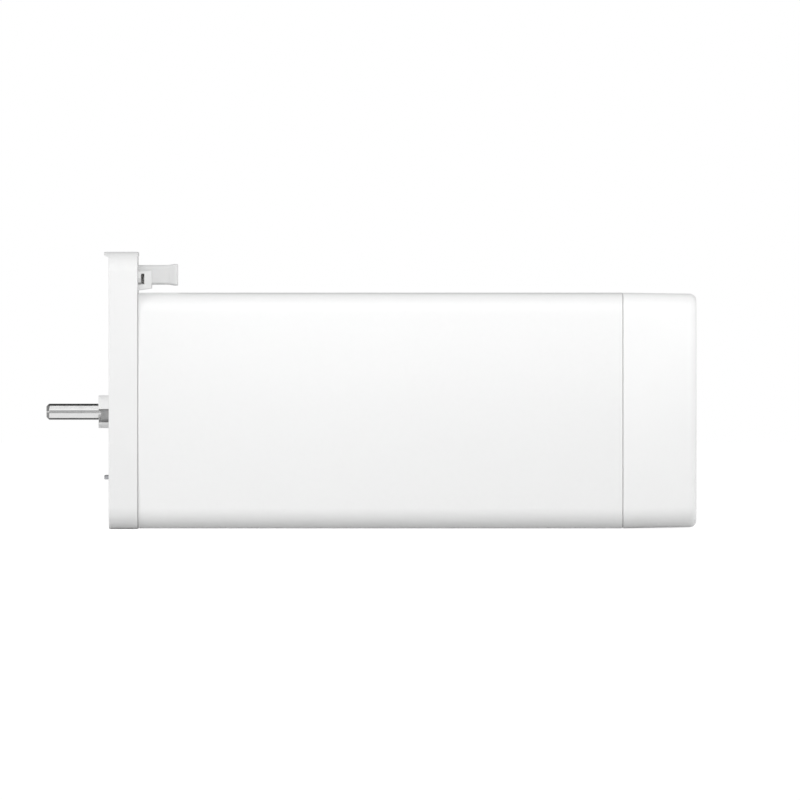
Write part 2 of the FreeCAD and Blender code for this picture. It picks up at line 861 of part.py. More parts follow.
def head_screws():
    solids = []
    head_x = counterbore_depth - head_screw_head_height
    for y, z in head_screw_places():
        head = running_pin(head_screw_head_radius, head_x, counterbore_depth, y, z)
        head = head.cut(hexagon(hex_key_across_flats, head_x, head_x + hex_key_depth, y, z))
        shank = stud(head_screw_radius, counterbore_depth, ring_x - free_gap, y, z)
        solids.append(head.fuse(shank))
    return solids


def locating_pegs():
    return [stud(peg_radius, -peg_proud, peg_depth, y, peg_z) for y in (-peg_y, peg_y)]


# Latch

def latch_bracket():
    """Bridge below the lever and a cheek on each side, with a slot in the front cheek."""
    end = plate_depth + bracket_reach
    bridge = side_profile([
        (bridge_start, pocket_bottom),
        (plate_depth, pocket_bottom),
        (end, pocket_bottom + bracket_rise),
        (end, bridge_top),
        (bridge_start, bridge_top)], -cheek_outer, cheek_outer)
    cheek_outline = [
        (cheek_start, bridge_top),
        (end, bridge_top),
        (end, pocket_bottom + cheek_end_height),
        (plate_depth, pocket_bottom + cheek_height),
        (cheek_start, pocket_bottom + cheek_height)]
    front = side_profile(cheek_outline, -cheek_outer, -cheek_inner)
    back = side_profile(cheek_outline, cheek_inner, cheek_outer)
    bracket = fuse_all([bridge, front, back])
    window_x = plate_depth + window_left
    window = block(window_x, window_x + window_width, -cheek_outer, -cheek_inner,
                   pocket_bottom + window_low, pocket_bottom + window_high)
    notch = block(plate_depth, window_x, -cheek_outer, -cheek_inner,
                  pocket_bottom + notch_low, pocket_bottom + notch_high)
    pin_hole = cross_pin(latch_pin_radius + seat_gap, -cheek_inner - pin_blind_depth, cheek_outer,
                         latch_pivot_x, latch_pivot_z)
    return bracket.cut(window).cut(notch).cut(pin_hole)


def latch_pin():
    return cross_pin(latch_pin_radius, -cheek_inner - pin_blind_depth, cheek_outer,
                     latch_pivot_x, latch_pivot_z)


def latch_lever():
    """An upturned trough with a flared finger end, a hub on the pin and a hooked nose."""
    end = plate_depth + lever_reach
    flare_x = end - lever_flare_length
    step_x = plate_depth - free_gap
    step_end = step_x + lever_wall
    trough = side_profile([
        (step_x, lever_bottom),
        (flare_x, lever_bottom),
        (end, lever_bottom - lever_flare),
        (end, lever_top + lever_flare),
        (flare_x, lever_top),
        (step_x, lever_top)], -lever_half_width, lever_half_width)
    rim_half = lever_half_width + lever_rim
    rim = block(end - lever_end_wall, end, -rim_half, rim_half, lever_bottom - lever_flare,
                lever_top + lever_flare)
    inner_half = lever_half_width - lever_wall
    hollow = block(step_x, end - lever_end_wall, -inner_half, inner_half,
                   lever_bottom - lever_flare, roof_under)
    coil_end_x = latch_pivot_x + spring_radius + spring_wire / 2 + spring_wall_gap
    coil_room = block(step_x, coil_end_x, -lever_half_width, hub_front, lever_bottom,
                      pocket_bottom + cheek_end_height)
    trough = trough.cut(hollow).cut(coil_room)
    hub = cross_pin(hub_radius, hub_front, lever_half_width, latch_pivot_x, latch_pivot_z)
    web = block(latch_pivot_x - lever_wall, latch_pivot_x + lever_wall, hub_front, lever_half_width,
                latch_pivot_z, roof_under)
    hook_bottom = pocket_bottom + nose_hook_low
    hook_end = nose_start + nose_hook_length
    nose = side_profile([
        (nose_start, nose_top - lever_wall),
        (nose_start + nose_hook_length / 2, hook_bottom),
        (hook_end, hook_bottom),
        (hook_end, nose_top - lever_wall),
        (step_end, nose_top - lever_wall),
        (step_end, lever_top),
        (step_x, lever_top),
        (step_x, nose_top),
        (nose_start, nose_top)], -nose_half_width, nose_half_width)
    foot_end = stop_foot_start + stop_foot_length
    side_walls = []
    for side in (-1, 1):
        y0, y1 = sorted((side * nose_half_width, side * (nose_half_width + lever_wall)))
        side_walls.append(block(stop_foot_start, foot_end, y0, y1, bridge_top + stop_foot_gap, nose_top))
        side_walls.append(block(foot_end, step_end, y0, y1, hook_bottom, nose_top))
    lever = fuse_all([trough, rim, hub, web, nose] + side_walls)
    clearance = (latch_pin_radius + run_gap) / math.cos(math.pi / round_sides)
    pin_bore = cross_pin(clearance, hub_front, lever_half_width, latch_pivot_x, latch_pivot_z)
    return lever.cut(pin_bore)


def leg_angle(end_x, end_z, sense):
    """Angle on the coil, seen along Y, where a straight leg to the given point leaves it."""
    sweep = math.acos(spring_radius / math.hypot(end_x, end_z))
    return math.atan2(end_z, end_x) + sense * sweep


# The coil runs from its low leg, under the pin, backwards round to its high leg
leg_low_z = bridge_top + spring_wire / 2 + spring_seat_gap - latch_pivot_z
leg_high_z = roof_under - spring_wire / 2 - spring_seat_gap - latch_pivot_z
coil_first = leg_angle(spring_low_leg, leg_low_z, -1)
coil_last = leg_angle(spring_high_leg, leg_high_z, 1) - 2 * math.pi * (spring_turns + 1)
coil_rise = spring_pitch / (2 * math.pi)
coil_start_y = -cheek_inner + spring_cheek_gap + spring_wire / 2
coil_end_y = coil_start_y + coil_rise * (coil_first - coil_last)
hub_front = coil_end_y + spring_wire / 2 + spring_hub_gap


def coil_point(angle):
    return FreeCAD.Vector(latch_pivot_x + spring_radius * math.cos(angle),
                          coil_start_y + coil_rise * (coil_first - angle),
                          latch_pivot_z + spring_radius * math.sin(angle))


def coil_way(angle):
    """Direction of the wire as the angle falls."""
    way = FreeCAD.Vector(spring_radius * math.sin(angle), coil_rise, -spring_radius * math.cos(angle))
    way.normalize()
    return way


def arc_from(start, way, end):
    """The arc that leaves start along way and ends at end, as three points."""
    chord = end - start
    inward = chord - way * chord.dot(way)
    inward.normalize()
    radius = chord.dot(chord) / (2 * chord.dot(inward))
    centre = start + inward * radius
    outward = (start - centre) + (end - centre)
    outward.normalize()
    return start, centre + outward * radius, end


def biarc(start, start_way, end, end_way):
    """Two arcs that leave start along start_way and reach end along end_way."""
    chord = end - start
    spread = 2 * (1 - start_way.dot(end_way))
    slant = chord.dot(start_way + end_way)
    reach = (-slant + math.sqrt(slant ** 2 + spread * chord.dot(chord))) / spread
    joint = (start + end + (start_way - end_way) * reach) * 0.5
    first = arc_from(start, start_way, joint)
    last = arc_from(end, end_way * -1, joint)
    return [Part.Arc(*first).toShape(), Part.Arc(*reversed(last)).toShape()]


def turn_gap(samples):
    """Least gap from the wire to itself, on points of the coil half a turn or more apart."""
    angles = [coil_first + (coil_last - coil_first) * number / samples for number in range(samples + 1)]
    distances = [(coil_point(a) - coil_point(b)).Length
                 for a in angles for b in angles if a - b >= math.pi]
    return min(distances) - spring_wire


def latch_spring():
    """Torsion spring: one wire, its low leg on the bridge and its high leg under the lever."""
    low_length = math.sqrt(spring_low_leg ** 2 + leg_low_z ** 2 - spring_radius ** 2)
    high_length = math.sqrt(spring_high_leg ** 2 + leg_high_z ** 2 - spring_radius ** 2)
    start = coil_point(coil_first) - coil_way(coil_first) * low_length
    finish = coil_point(coil_last) + coil_way(coil_last) * high_length
    quarters = math.ceil((coil_first - coil_last) / (math.pi / 2))
    stops = [coil_first + (coil_last - coil_first) * number / quarters for number in range(quarters + 1)]
    edges = [Part.LineSegment(start, coil_point(coil_first)).toShape()]
    for here, there in zip(stops, stops[1:]):
        edges += biarc(coil_point(here), coil_way(here), coil_point(there), coil_way(there))
    edges.append(Part.LineSegment(coil_point(coil_last), finish).toShape())
    way = coil_way(coil_first)
    across = FreeCAD.Vector(0, 1, 0).cross(way)
    across.normalize()
    along = way.cross(across)
    corners = []
    for side in range(spring_sides + 1):
        dy, dz = polar(spring_wire / 2, 360.0 * side / spring_sides)
        corners.append(start + along * dy + across * dz)
    print("latch spring: least gap to itself", round(turn_gap(240), 3), "mm")
    return Part.Wire(edges).makePipeShell([Part.makePolygon(corners)], True, False)


# Motor

def motor_screw_places():
    return [polar(motor_screw_circle, degrees) for degrees in (0.0, 180.0)]


def motor_mount_plate():
    """Plate that closes the gearbox and carries the motor."""
    plate = drum(gearbox_radius, mount_x, can_x)
    plate = plate.cut(running_pin(can_boss_radius + seat_gap, mount_x, can_x))
    for y, z in gearbox_screw_places():
        plate = plate.cut(stud(gearbox_screw_radius + seat_gap, mount_x, can_x, y, z))
    for y, z in motor_screw_places():
        hole = sunk_screw(
            motor_screw_radius + seat_gap, motor_screw_head + seat_gap, mount_x, can_x, y, z)
        plate = plate.cut(hole)
    return plate


def motor_screws():
    end = can_x + can_front
    return [sunk_screw(motor_screw_radius, motor_screw_head, mount_x, end, y, z)
            for y, z in motor_screw_places()]


def motor_can():
    """A drawn cup with a bearing boss on its closed end."""
    cup = drum(motor_radius, can_x, can_end)
    cup = cup.cut(drum(motor_radius - can_wall, can_x + can_front, can_end))
    cup = cup.fuse(running_pin(can_boss_radius, can_x - can_boss_length, can_x)).removeSplitter()
    cup = cup.cut(running_pin(motor_bush_radius + seat_gap, can_x - can_boss_length, can_x + can_front))
    for y, z in motor_screw_places():
        cup = cup.cut(stud(motor_screw_radius + seat_gap, can_x, can_x + can_front, y, z))
    return cup


def motor_magnets():
    """Two arched magnets against the can's wall, with a gap above and below."""
    start = core_x - magnet_overhang
    end = core_end + magnet_overhang
    ring = drum(magnet_outer, start, end).cut(drum(magnet_outer - magnet_thickness, start, end))
    solids = []
    for side in (0, 180):
        half = block(start, end, magnet_half_gap, magnet_outer, -magnet_outer, magnet_outer)
        solids.append(ring.common(turned(half, side)))
    return solids


def motor_end_bell():
    """Plastic end with a bush boss, brush guides in the can and two sensor posts."""
    disc = drum(motor_radius, can_end, bell_end)
    boss = running_pin(motor_bush_radius + can_wall, bell_end, bell_end + end_bell_boss)
    posts = [stud(encoder_post_radius, bell_end, encoder_board_x, y, 0)
             for y in (-encoder_post_y, encoder_post_y)]
    width = brush_width / 2 + can_wall
    guides = []
    for side in (0, 180):
        guide = block(commutator_x + free_gap, can_end, commutator_radius + can_wall,
                      commutator_radius + brush_length, -width, width)
        guides.append(turned(guide, side))
    bell = fuse_all([disc, boss] + posts + guides)
    for brush in motor_brushes(seat_gap):
        bell = bell.cut(brush)
    return bell.cut(running_pin(motor_bush_radius + seat_gap, can_end, bell_end + end_bell_boss))


def motor_brushes(grow=0.0):
    solids = []
    half = brush_width / 2 + grow
    middle = commutator_x + commutator_length / 2
    for side in (0, 180):
        brush = block(middle - half, middle + half, commutator_radius + run_gap,
                      commutator_radius + brush_length + grow, -half, half)
        solids.append(turned(brush, side))
    return solids


def motor_bushes():
    clearance = motor_shaft_radius + run_gap
    front = tube(motor_bush_radius, clearance, can_x - can_boss_length, can_x + can_front)
    rear = tube(motor_bush_radius, clearance, can_end, bell_end + end_bell_boss)
    return [front, rear]


def motor_shaft():
    return running_pin(motor_shaft_radius, input_planet_x, encoder_x + encoder_magnet_length)


def shaft_bore(solid, x0, x1):
    return solid.cut(running_pin(motor_shaft_radius + seat_gap, x0, x1))


def motor_pinion():
    """The first stage's sun, pressed on the motor's shaft."""
    end = can_x - can_boss_length - free_gap
    return shaft_bore(sun_gear(input_planet_x, end, input_stage_turn), input_planet_x, end)


def armature_core():
    """A stack with slots that open to the rim."""
    core = drum(armature_radius, core_x, core_end)
    for number in range(armature_slots):
        degrees = 360.0 * number / armature_slots
        y, z = polar(slot_circle, degrees)
        core = core.cut(stud(slot_radius, core_x, core_end, y, z))
        mouth = block(core_x, core_end, slot_circle, armature_radius, -slot_mouth / 2, slot_mouth / 2)
        core = core.cut(turned(mouth, degrees))
    return shaft_bore(core, core_x, core_end)


def armature_windings():
    """Copper in the slots, joined by the heads of the coils at both ends."""
    solids = []
    for x0, x1 in ((core_x - winding_end, core_x - seat_gap), (core_end + seat_gap, core_end + winding_end)):
        solids.append(tube(winding_outer, winding_inner, x0, x1))
    for number in range(armature_slots):
        y, z = polar(slot_circle, 360.0 * number / armature_slots)
        solids.append(stud(slot_radius - seat_gap, core_x - seat_gap, core_end + seat_gap, y, z))
    return fuse_all(solids)


def commutator():
    end = commutator_x + commutator_length
    return shaft_bore(running_pin(commutator_radius, commutator_x, end), commutator_x, end)


def encoder_magnet():
    end = encoder_x + encoder_magnet_length
    return shaft_bore(running_pin(encoder_magnet_radius, encoder_x, end), encoder_x, end)


def encoder_board():
    """Sensor board on the end bell's posts, with its sensor towards the magnet."""
    half = encoder_post_y + encoder_post_radius + free_gap
    board = block(encoder_board_x, encoder_board_x + board_thickness, -half, half, -half, half)
    sensor = block(encoder_board_x - encoder_gap / 2, encoder_board_x, -board_thickness, board_thickness,
                   encoder_magnet_radius / 2, encoder_magnet_radius)
    return board.fuse(sensor)


def motor_terminals():
    half = terminal_width / 2
    thickness = board_thickness / 4
    return [block(bell_end, bell_end + terminal_length, y - half, y + half,
                  terminal_z - thickness, terminal_z + thickness) for y in (-terminal_y, terminal_y)]


def motor_leads():
    """Two leads from the motor's tabs to the control board above."""
    solids = []
    turn_x = board_x + lead_bend
    for y in (-terminal_y, terminal_y):
        low = block(bell_end + terminal_length, turn_x, y - lead_half, y + lead_half,
                    terminal_z - lead_half, terminal_z + lead_half)
        high = block(turn_x - 2 * lead_half, turn_x, y - lead_half, y + lead_half,
                     terminal_z, board_level)
        solids.append(fuse_all([low, high]))
    return solids


def motor_dampers():
    """Rubber blocks that hold the can between the sleeve's broad sides."""
    solids = []
    half_width = body_width / 2 - sleeve_wall - slip_gap
    half_height = motor_radius + damper_wall
    for x0 in (can_x + damper_front, can_end - damper_rear - damper_thickness):
        x1 = x0 + damper_thickness
        damper = cut_corner_block(x0, x1, half_width, -half_height, half_height, damper_corner)
        solids.append(damper.cut(drum(motor_radius + seat_gap, x0, x1)))
    return solids


# Boards

def chassis_frame(x):
    """End frame of the chassis, an open window with cut corners in the sleeve."""
    frame = inner_block(x, x + chassis_wall, sleeve_wall + chassis_gap + side_bow)
    half = chassis_window
    return frame.cut(block(x, x + chassis_wall, -half, half, -half, half))


def chassis():
    """Two end frames joined by rails that carry a board above and one below."""
    rail_outer = board_half_width + chassis_rail
    pieces = [chassis_frame(chassis_start), chassis_frame(pillar_start)]
    for side in (-1, 1):
        y0, y1 = sorted((side * board_half_width, side * rail_outer))
        rail = block(chassis_start, pillar_start, y0, y1, -chassis_rail_half_height, chassis_rail_half_height)
        for number in range(2):
            x0 = board_x + number * (rail_window_length + rail_window_half)
            rail = rail.cut(block(x0, x0 + rail_window_length, y0, y1, -rail_window_half, rail_window_half))
        pieces.append(rail)
        ledge_y0, ledge_y1 = sorted((side * (board_half_width - ledge_depth), side * rail_outer))
        for level in (-board_level - board_thickness - ledge_thickness, board_level + board_thickness):
            pieces.append(block(chassis_start, pillar_start, ledge_y0, ledge_y1,
                                level, level + ledge_thickness))
    pieces += [stud(pillar_radius, pillar_start, chassis_end, y, z) for y, z in cap_screw_places()]
    frame = fuse_all(pieces)
    for y, z in cap_screw_places():
        frame = frame.cut(stud(cap_screw_radius + seat_gap, pillar_start, chassis_end, y, z))
    return frame


def long_board(level):
    half = board_half_width - seat_gap
    return block(board_x, board_end, -half, half, level, level + board_thickness)


def power_transformer():
    """Core with a bobbin that shows at its ends."""
    x0 = board_x + part_gap
    x1 = x0 + transformer_length
    base = -board_level
    top = base + transformer_height
    half = transformer_width / 2
    core = block(x0 + transformer_step, x1 - transformer_step, -half, half, base + transformer_step, top)
    bobbin = block(x0, x1, -half + transformer_step, half - transformer_step, base, top - transformer_step)
    return fuse_all([core, bobbin])


def power_capacitor():
    """Smoothing capacitor, lying across the board behind the transformer."""
    x = board_x + part_gap + transformer_length + part_gap + capacitor_radius
    half = capacitor_length / 2
    return cross_pin(capacitor_radius, -half, half, x, -board_level + capacitor_radius)


def radio_module():
    """Card with a screening can, at the end that is farthest from the motor."""
    base = board_level + board_thickness
    half = radio_width / 2
    card = block(board_end - radio_length, board_end, -half, half, base, base + radio_card)
    can_half = half - ledge_thickness
    can_end_x = board_end - radio_length + ledge_thickness + radio_can_length
    can = block(can_end_x - radio_can_length, can_end_x, -can_half, can_half,
                base + radio_card, base + radio_card + radio_can_height)
    return card.fuse(can)


def control_components():
    """Two relays and the driver chip, on the control board's outer face."""
    base = board_level + board_thickness
    start = board_x + part_gap
    solids = []
    for side in (-1, 1):
        middle = side * (relay_width + part_gap) / 2
        solids.append(block(start, start + relay_length, middle - relay_width / 2, middle + relay_width / 2,
                            base, base + relay_height))
    chip_x = start + relay_length + part_gap
    solids.append(block(chip_x, chip_x + relay_width, -relay_width / 2, relay_width / 2,
                        base, base + ledge_thickness))
    return solids


# End cap

def cap_screw_places():
    return [(0.0, body_centre_z + side * cap_screw_offset) for side in (-1, 1)]


def stake_places():
    return [(y, body_centre_z + z) for y in (-stake_y, stake_y) for z in (-stake_z, stake_z)]


def cap_outside():
    """Drafted sides and a rounded end, as a ruled loft through a few outlines."""
    rounding_x = cap_end - cap_edge_radius
    draft = cap_draft * (rounding_x - cap_x) / cap_length
    wires = [sleeve_wire(cap_x, 0), sleeve_wire(rounding_x, draft, draft)]
    for step in range(1, cap_edge_steps + 1):
        angle = math.pi / 2 * step / cap_edge_steps
        inset = draft + cap_edge_radius * (1 - math.cos(angle))
        wires.append(sleeve_wire(rounding_x + cap_edge_radius * math.sin(angle), inset, draft))
    return Part.makeLoft(wires, True, True)


def end_cap():
    """Rounded shell with a lip, screw tubes and a window for the sockets."""
    outer = cap_outside()
    shell = outer.cut(inner_block(cap_x, cap_x + cap_root, cavity_inset))
    shell = shell.cut(sleeve_core(cap_x + cap_root, panel_x, sleeve_wall + cap_draft))
    shell = shell.fuse(lip_tongues(cap_x - lip_length, cap_x + cap_root))
    inside = panel_x + end_wall / 4
    extras = [running_pin(cap_tube_radius, chassis_end, inside, y, z) for y, z in cap_screw_places()]
    extras += [stud(stake_radius, socket_plate_x - stake_proud, inside, y, z) for y, z in stake_places()]
    shell = fuse_all([shell] + extras)
    for y, z in cap_screw_places():
        shell = shell.cut(running_pin(cap_tube_bore, tube_floor_x, cap_end, y, z))
        shell = shell.cut(stud(cap_screw_radius + seat_gap, chassis_end, tube_floor_x, y, z))
    window = rounded_block(panel_x, cap_end, port_window_half_width,
                           body_centre_z - port_window_half_height,
                           body_centre_z + port_window_half_height, port_window_corner)
    return shell.cut(window)


def end_cap_screws():
    solids = []
    for y, z in cap_screw_places():
        head_x = tube_floor_x + cap_screw_head_height
        head = running_pin(cap_screw_head_radius, tube_floor_x, head_x, y, z)
        head = head.cut(hexagon(hex_key_across_flats, head_x - hex_key_depth, head_x, y, z))
        shank = stud(cap_screw_radius, tube_floor_x - cap_screw_length, tube_floor_x, y, z)
        solids.append(head.fuse(shank))
    return solids


def inlet_body(grow=0.0):
    width = inlet_width + 2 * (inlet_wall + grow)
    height = inlet_height + 2 * (inlet_wall + grow)
    return stadium(port_x, panel_x, width, height, inlet_z)


def data_body(grow=0.0):
    half = data_width / 2 + data_wall + grow
    tall = data_height / 2 + data_wall + grow
    return block(port_x, panel_x, -half, half, data_z - tall, data_z + tall)


def port_post_places():
    return [(y, body_centre_z + z) for y in (-port_post_y, port_post_y) for z in (-port_post_z, port_post_z)]


def socket_plate():
    """Panel behind the cap's window, with posts for the small board behind it."""
    plate = cut_corner_block(socket_plate_x, panel_x, socket_plate_half_width,
                             body_centre_z - socket_plate_half_height,
                             body_centre_z + socket_plate_half_height, port_window_corner)
    posts = [stud(port_post_radius, port_x, socket_plate_x, y, z) for y, z in port_post_places()]
    plate = fuse_all([plate] + posts)
    plate = plate.cut(inlet_body(seat_gap)).cut(data_body(seat_gap))
    plate = plate.cut(prism(drum_sides, button_radius + 2 * run_gap, socket_plate_x, panel_x,
                            button_y, button_z))
    plate = plate.cut(running_pin(light_radius + seat_gap, socket_plate_x, panel_x, light_y, button_z))
    for y, z in stake_places():
        plate = plate.cut(stud(stake_radius + seat_gap, socket_plate_x, panel_x, y, z))
    for y, z in port_post_places():
        plate = plate.cut(stud(port_screw_radius + seat_gap, port_x, port_x + port_screw_length, y, z))
    return plate


def port_board():
    """Small board behind the panel, with the status light's diode."""
    tall = socket_plate_half_height - port_post_radius
    card = cut_corner_block(port_board_x, port_x, socket_plate_half_width, body_centre_z - tall,
                            body_centre_z + tall, port_post_radius)
    for y, z in port_post_places():
        card = card.cut(stud(port_screw_radius + seat_gap, port_board_x, port_x, y, z))
    return card.fuse(running_pin(light_radius, port_x, port_x + light_gap - seat_gap, light_y, button_z))


def port_board_screws():
    solids = []
    for y, z in port_post_places():
        head = stud(port_screw_head_radius, port_board_x - port_screw_head_height, port_board_x, y, z)
        shank = stud(port_screw_radius, port_board_x, port_x + port_screw_length - free_gap, y, z)
        solids.append(head.fuse(shank))
    return solids


def inlet_pin_places():
    return [(y, inlet_z) for y in (-inlet_pin_pitch / 2, inlet_pin_pitch / 2)]


def power_inlet():
    """Rounded socket for a two-pole plug."""
    inlet = inlet_body().cut(stadium(panel_x - inlet_depth, panel_x, inlet_width, inlet_height, inlet_z))
    for y, z in inlet_pin_places():
        inlet = inlet.cut(stud(inlet_pin_radius + seat_gap, port_x, panel_x, y, z))
    return inlet


def inlet_pins():
    end = panel_x - inlet_depth + inlet_pin_length
    return [stud(inlet_pin_radius, port_x, end, y, z) for y, z in inlet_pin_places()]


def data_socket():
    """Square socket with a key slot above."""
    start = panel_x - data_depth
    bottom = data_z - data_height / 2
    top = data_z + data_height / 2
    cavity = block(start, panel_x, -data_width / 2, data_width / 2, bottom, top)
    key = block(start, panel_x, -data_key_width / 2, data_key_width / 2, top, top + data_key_height)
    return data_body().cut(cavity).cut(key)


def program_button():
    """Round cap, a flange that keeps it behind the panel, and a stem to the switch."""
    flange_end = socket_plate_x - chassis_gap
    stem_end = flange_end - button_flange_thickness
    stem_start = port_x + switch_height + plunger_proud
    cap = prism(drum_sides, button_radius, flange_end, panel_x + button_proud, button_y, button_z)
    flange = stud(button_flange, stem_end, flange_end, button_y, button_z)
    stem = stud(button_stem_radius, stem_start, stem_end, button_y, button_z)
    return fuse_all([cap, flange, stem])


def push_switch():
    half = switch_size / 2
    top = port_x + switch_height
    case = block(port_x, top, button_y - half, button_y + half, button_z - half, button_z + half)
    return case.cut(bore(plunger_radius + run_gap, top - 2 * plunger_proud, top, button_y, button_z))


def switch_plunger():
    top = port_x + switch_height
    return running_pin(plunger_radius, top - plunger_proud, top + plunger_proud, button_y, button_z)


def status_light_pipe():
    return running_pin(light_radius, port_x + light_gap, panel_x + light_proud, light_y, button_z)


def body_sleeve():
    """Extruded tube with a fine chamfer at each end, which shows as a seam."""
    wires = [
        sleeve_wire(sleeve_x, seam_depth),
        sleeve_wire(sleeve_x + seam_width, 0),
        sleeve_wire(cap_x - seam_width, 0),
        sleeve_wire(cap_x, seam_depth)]
    outside = Part.makeLoft(wires, True, True)
    return outside.cut(sleeve_core(sleeve_x, cap_x, sleeve_wall))


os.makedirs("parts", exist_ok=True)

save("head_plate", head_plate())
save("shaft_collar", shaft_collar())
save("locating_pegs", *locating_pegs())
save("head_screws", *head_screws())
save("latch_bracket", latch_bracket())
save("latch_lever", latch_lever())
save("latch_pin", latch_pin())
save("latch_spring", latch_spring())
save("body_sleeve", body_sleeve())

save("drive_shaft", drive_shaft())
save("output_bush", output_bush())
save("gearbox_front_flange", gearbox_front_flange())
save("gearbox_ring", gearbox_ring())
save("gearbox_screws", *gearbox_screws())
save("output_carrier", output_carrier())
save("output_carrier_pins", *planet_pins(
    output_carrier_x, output_planet_x + output_planet_width, output_stage_turn))
for index, wheel in enumerate(planet_gears(output_planet_x, output_planet_width, output_stage_turn)):
    save("output_planet_" + str(index + 1), wheel)
save("middle_carrier", middle_carrier())
save("middle_carrier_pins", *planet_pins(
    middle_carrier_x, input_planet_x + input_planet_width, input_stage_turn))
for index, wheel in enumerate(planet_gears(input_planet_x, input_planet_width, input_stage_turn)):
    save("input_planet_" + str(index + 1), wheel)

save("motor_mount_plate", motor_mount_plate())
save("motor_screws", *motor_screws())
save("motor_can", motor_can())
save("motor_magnets", *motor_magnets())
save("motor_end_bell", motor_end_bell())
save("motor_bushes", *motor_bushes())
save("motor_brushes", *motor_brushes())
save("motor_shaft", motor_shaft())
save("motor_pinion", motor_pinion())
save("armature_core", armature_core())
save("armature_windings", armature_windings())
save("commutator", commutator())
save("encoder_magnet", encoder_magnet())
save("encoder_board", encoder_board())
save("motor_terminals", *motor_terminals())
save("motor_leads", *motor_leads())
save("motor_dampers", *motor_dampers())

save("chassis", chassis())
save("control_board", long_board(board_level))
save("control_components", *control_components())
save("radio_module", radio_module())
save("power_board", long_board(-board_level - board_thickness))
save("power_transformer", power_transformer())
save("power_capacitor", power_capacitor())

save("end_cap", end_cap())
save("end_cap_screws", *end_cap_screws())
save("socket_plate", socket_plate())
save("port_board", port_board())
save("port_board_screws", *port_board_screws())
save("power_inlet", power_inlet())
save("inlet_pins", *inlet_pins())
save("data_socket", data_socket())
save("program_button", program_button())
save("push_switch", push_switch())
save("switch_plunger", switch_plunger())
save("status_light_pipe", status_light_pipe())
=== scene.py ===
import json
import math

import bmesh
import bpy
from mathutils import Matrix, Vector
from mathutils.geometry import delaunay_2d_cdt


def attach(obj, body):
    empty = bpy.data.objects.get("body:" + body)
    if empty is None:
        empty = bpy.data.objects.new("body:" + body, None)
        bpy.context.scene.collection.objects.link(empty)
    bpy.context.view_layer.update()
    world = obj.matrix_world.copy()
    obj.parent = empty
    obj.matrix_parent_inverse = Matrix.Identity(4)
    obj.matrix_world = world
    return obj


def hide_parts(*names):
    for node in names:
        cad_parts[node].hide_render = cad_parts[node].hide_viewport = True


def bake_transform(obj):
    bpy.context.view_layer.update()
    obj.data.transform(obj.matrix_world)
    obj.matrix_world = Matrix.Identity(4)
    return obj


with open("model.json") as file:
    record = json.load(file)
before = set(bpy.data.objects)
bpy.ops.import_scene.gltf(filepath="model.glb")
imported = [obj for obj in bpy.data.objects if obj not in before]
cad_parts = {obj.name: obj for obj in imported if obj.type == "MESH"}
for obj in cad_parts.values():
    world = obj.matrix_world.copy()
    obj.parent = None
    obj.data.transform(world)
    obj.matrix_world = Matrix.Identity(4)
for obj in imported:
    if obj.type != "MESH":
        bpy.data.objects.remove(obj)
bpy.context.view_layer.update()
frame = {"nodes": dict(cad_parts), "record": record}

scene = bpy.context.scene
scene.view_settings.view_transform = "Standard"
mm = 0.001

# Sizes in millimetres, as in the part's source
body_width = 50.0
body_height = 88.4
body_corner = 8.0
body_top = 44.65
body_centre_z = 0.45
side_bow_radius = 1090.0
sleeve_wall = 2.2
plate_depth = 10.8
plate_half_width = 25.35
plate_bottom = -44.1
plate_rise = 60.0
plate_corner = 8.35
panel_recess = 0.5
pocket_bottom = 45.6
pocket_top = 57.4
pocket_half_width = 9.4
latch_pivot_x = 13.9
latch_pivot_z = 50.0
collar_base_radius = 6.85
head_screw_offset = 16.5
head_screw_pit = 2.5
peg_places = [(-12.0, -24.6), (12.0, -24.6)]
cap_x = 192.9
cap_end = 220.5
cap_screw_offset = 35.6
tube_floor_x = 199.0
tube_radius = 3.3
panel_x = 218.3
panel_depth = 2.0
panel_half_height = 30.4
port_board_x = 205.0
window_half_width = 13.0
window_half_height = 28.5
window_corner = 4.0
inlet_z = -15.55
inlet_half_width = 7.6
inlet_half_height = 4.5
data_z = 4.45
data_half_width = 5.9
data_half_height = 4.1
button_y = -6.0
light_y = 6.0
button_z = 20.45
lever_half_width = 7.2
lever_bottom = 47.8
lever_top = 55.1
lever_end = 25.8


# Node materials

surfaces = {}


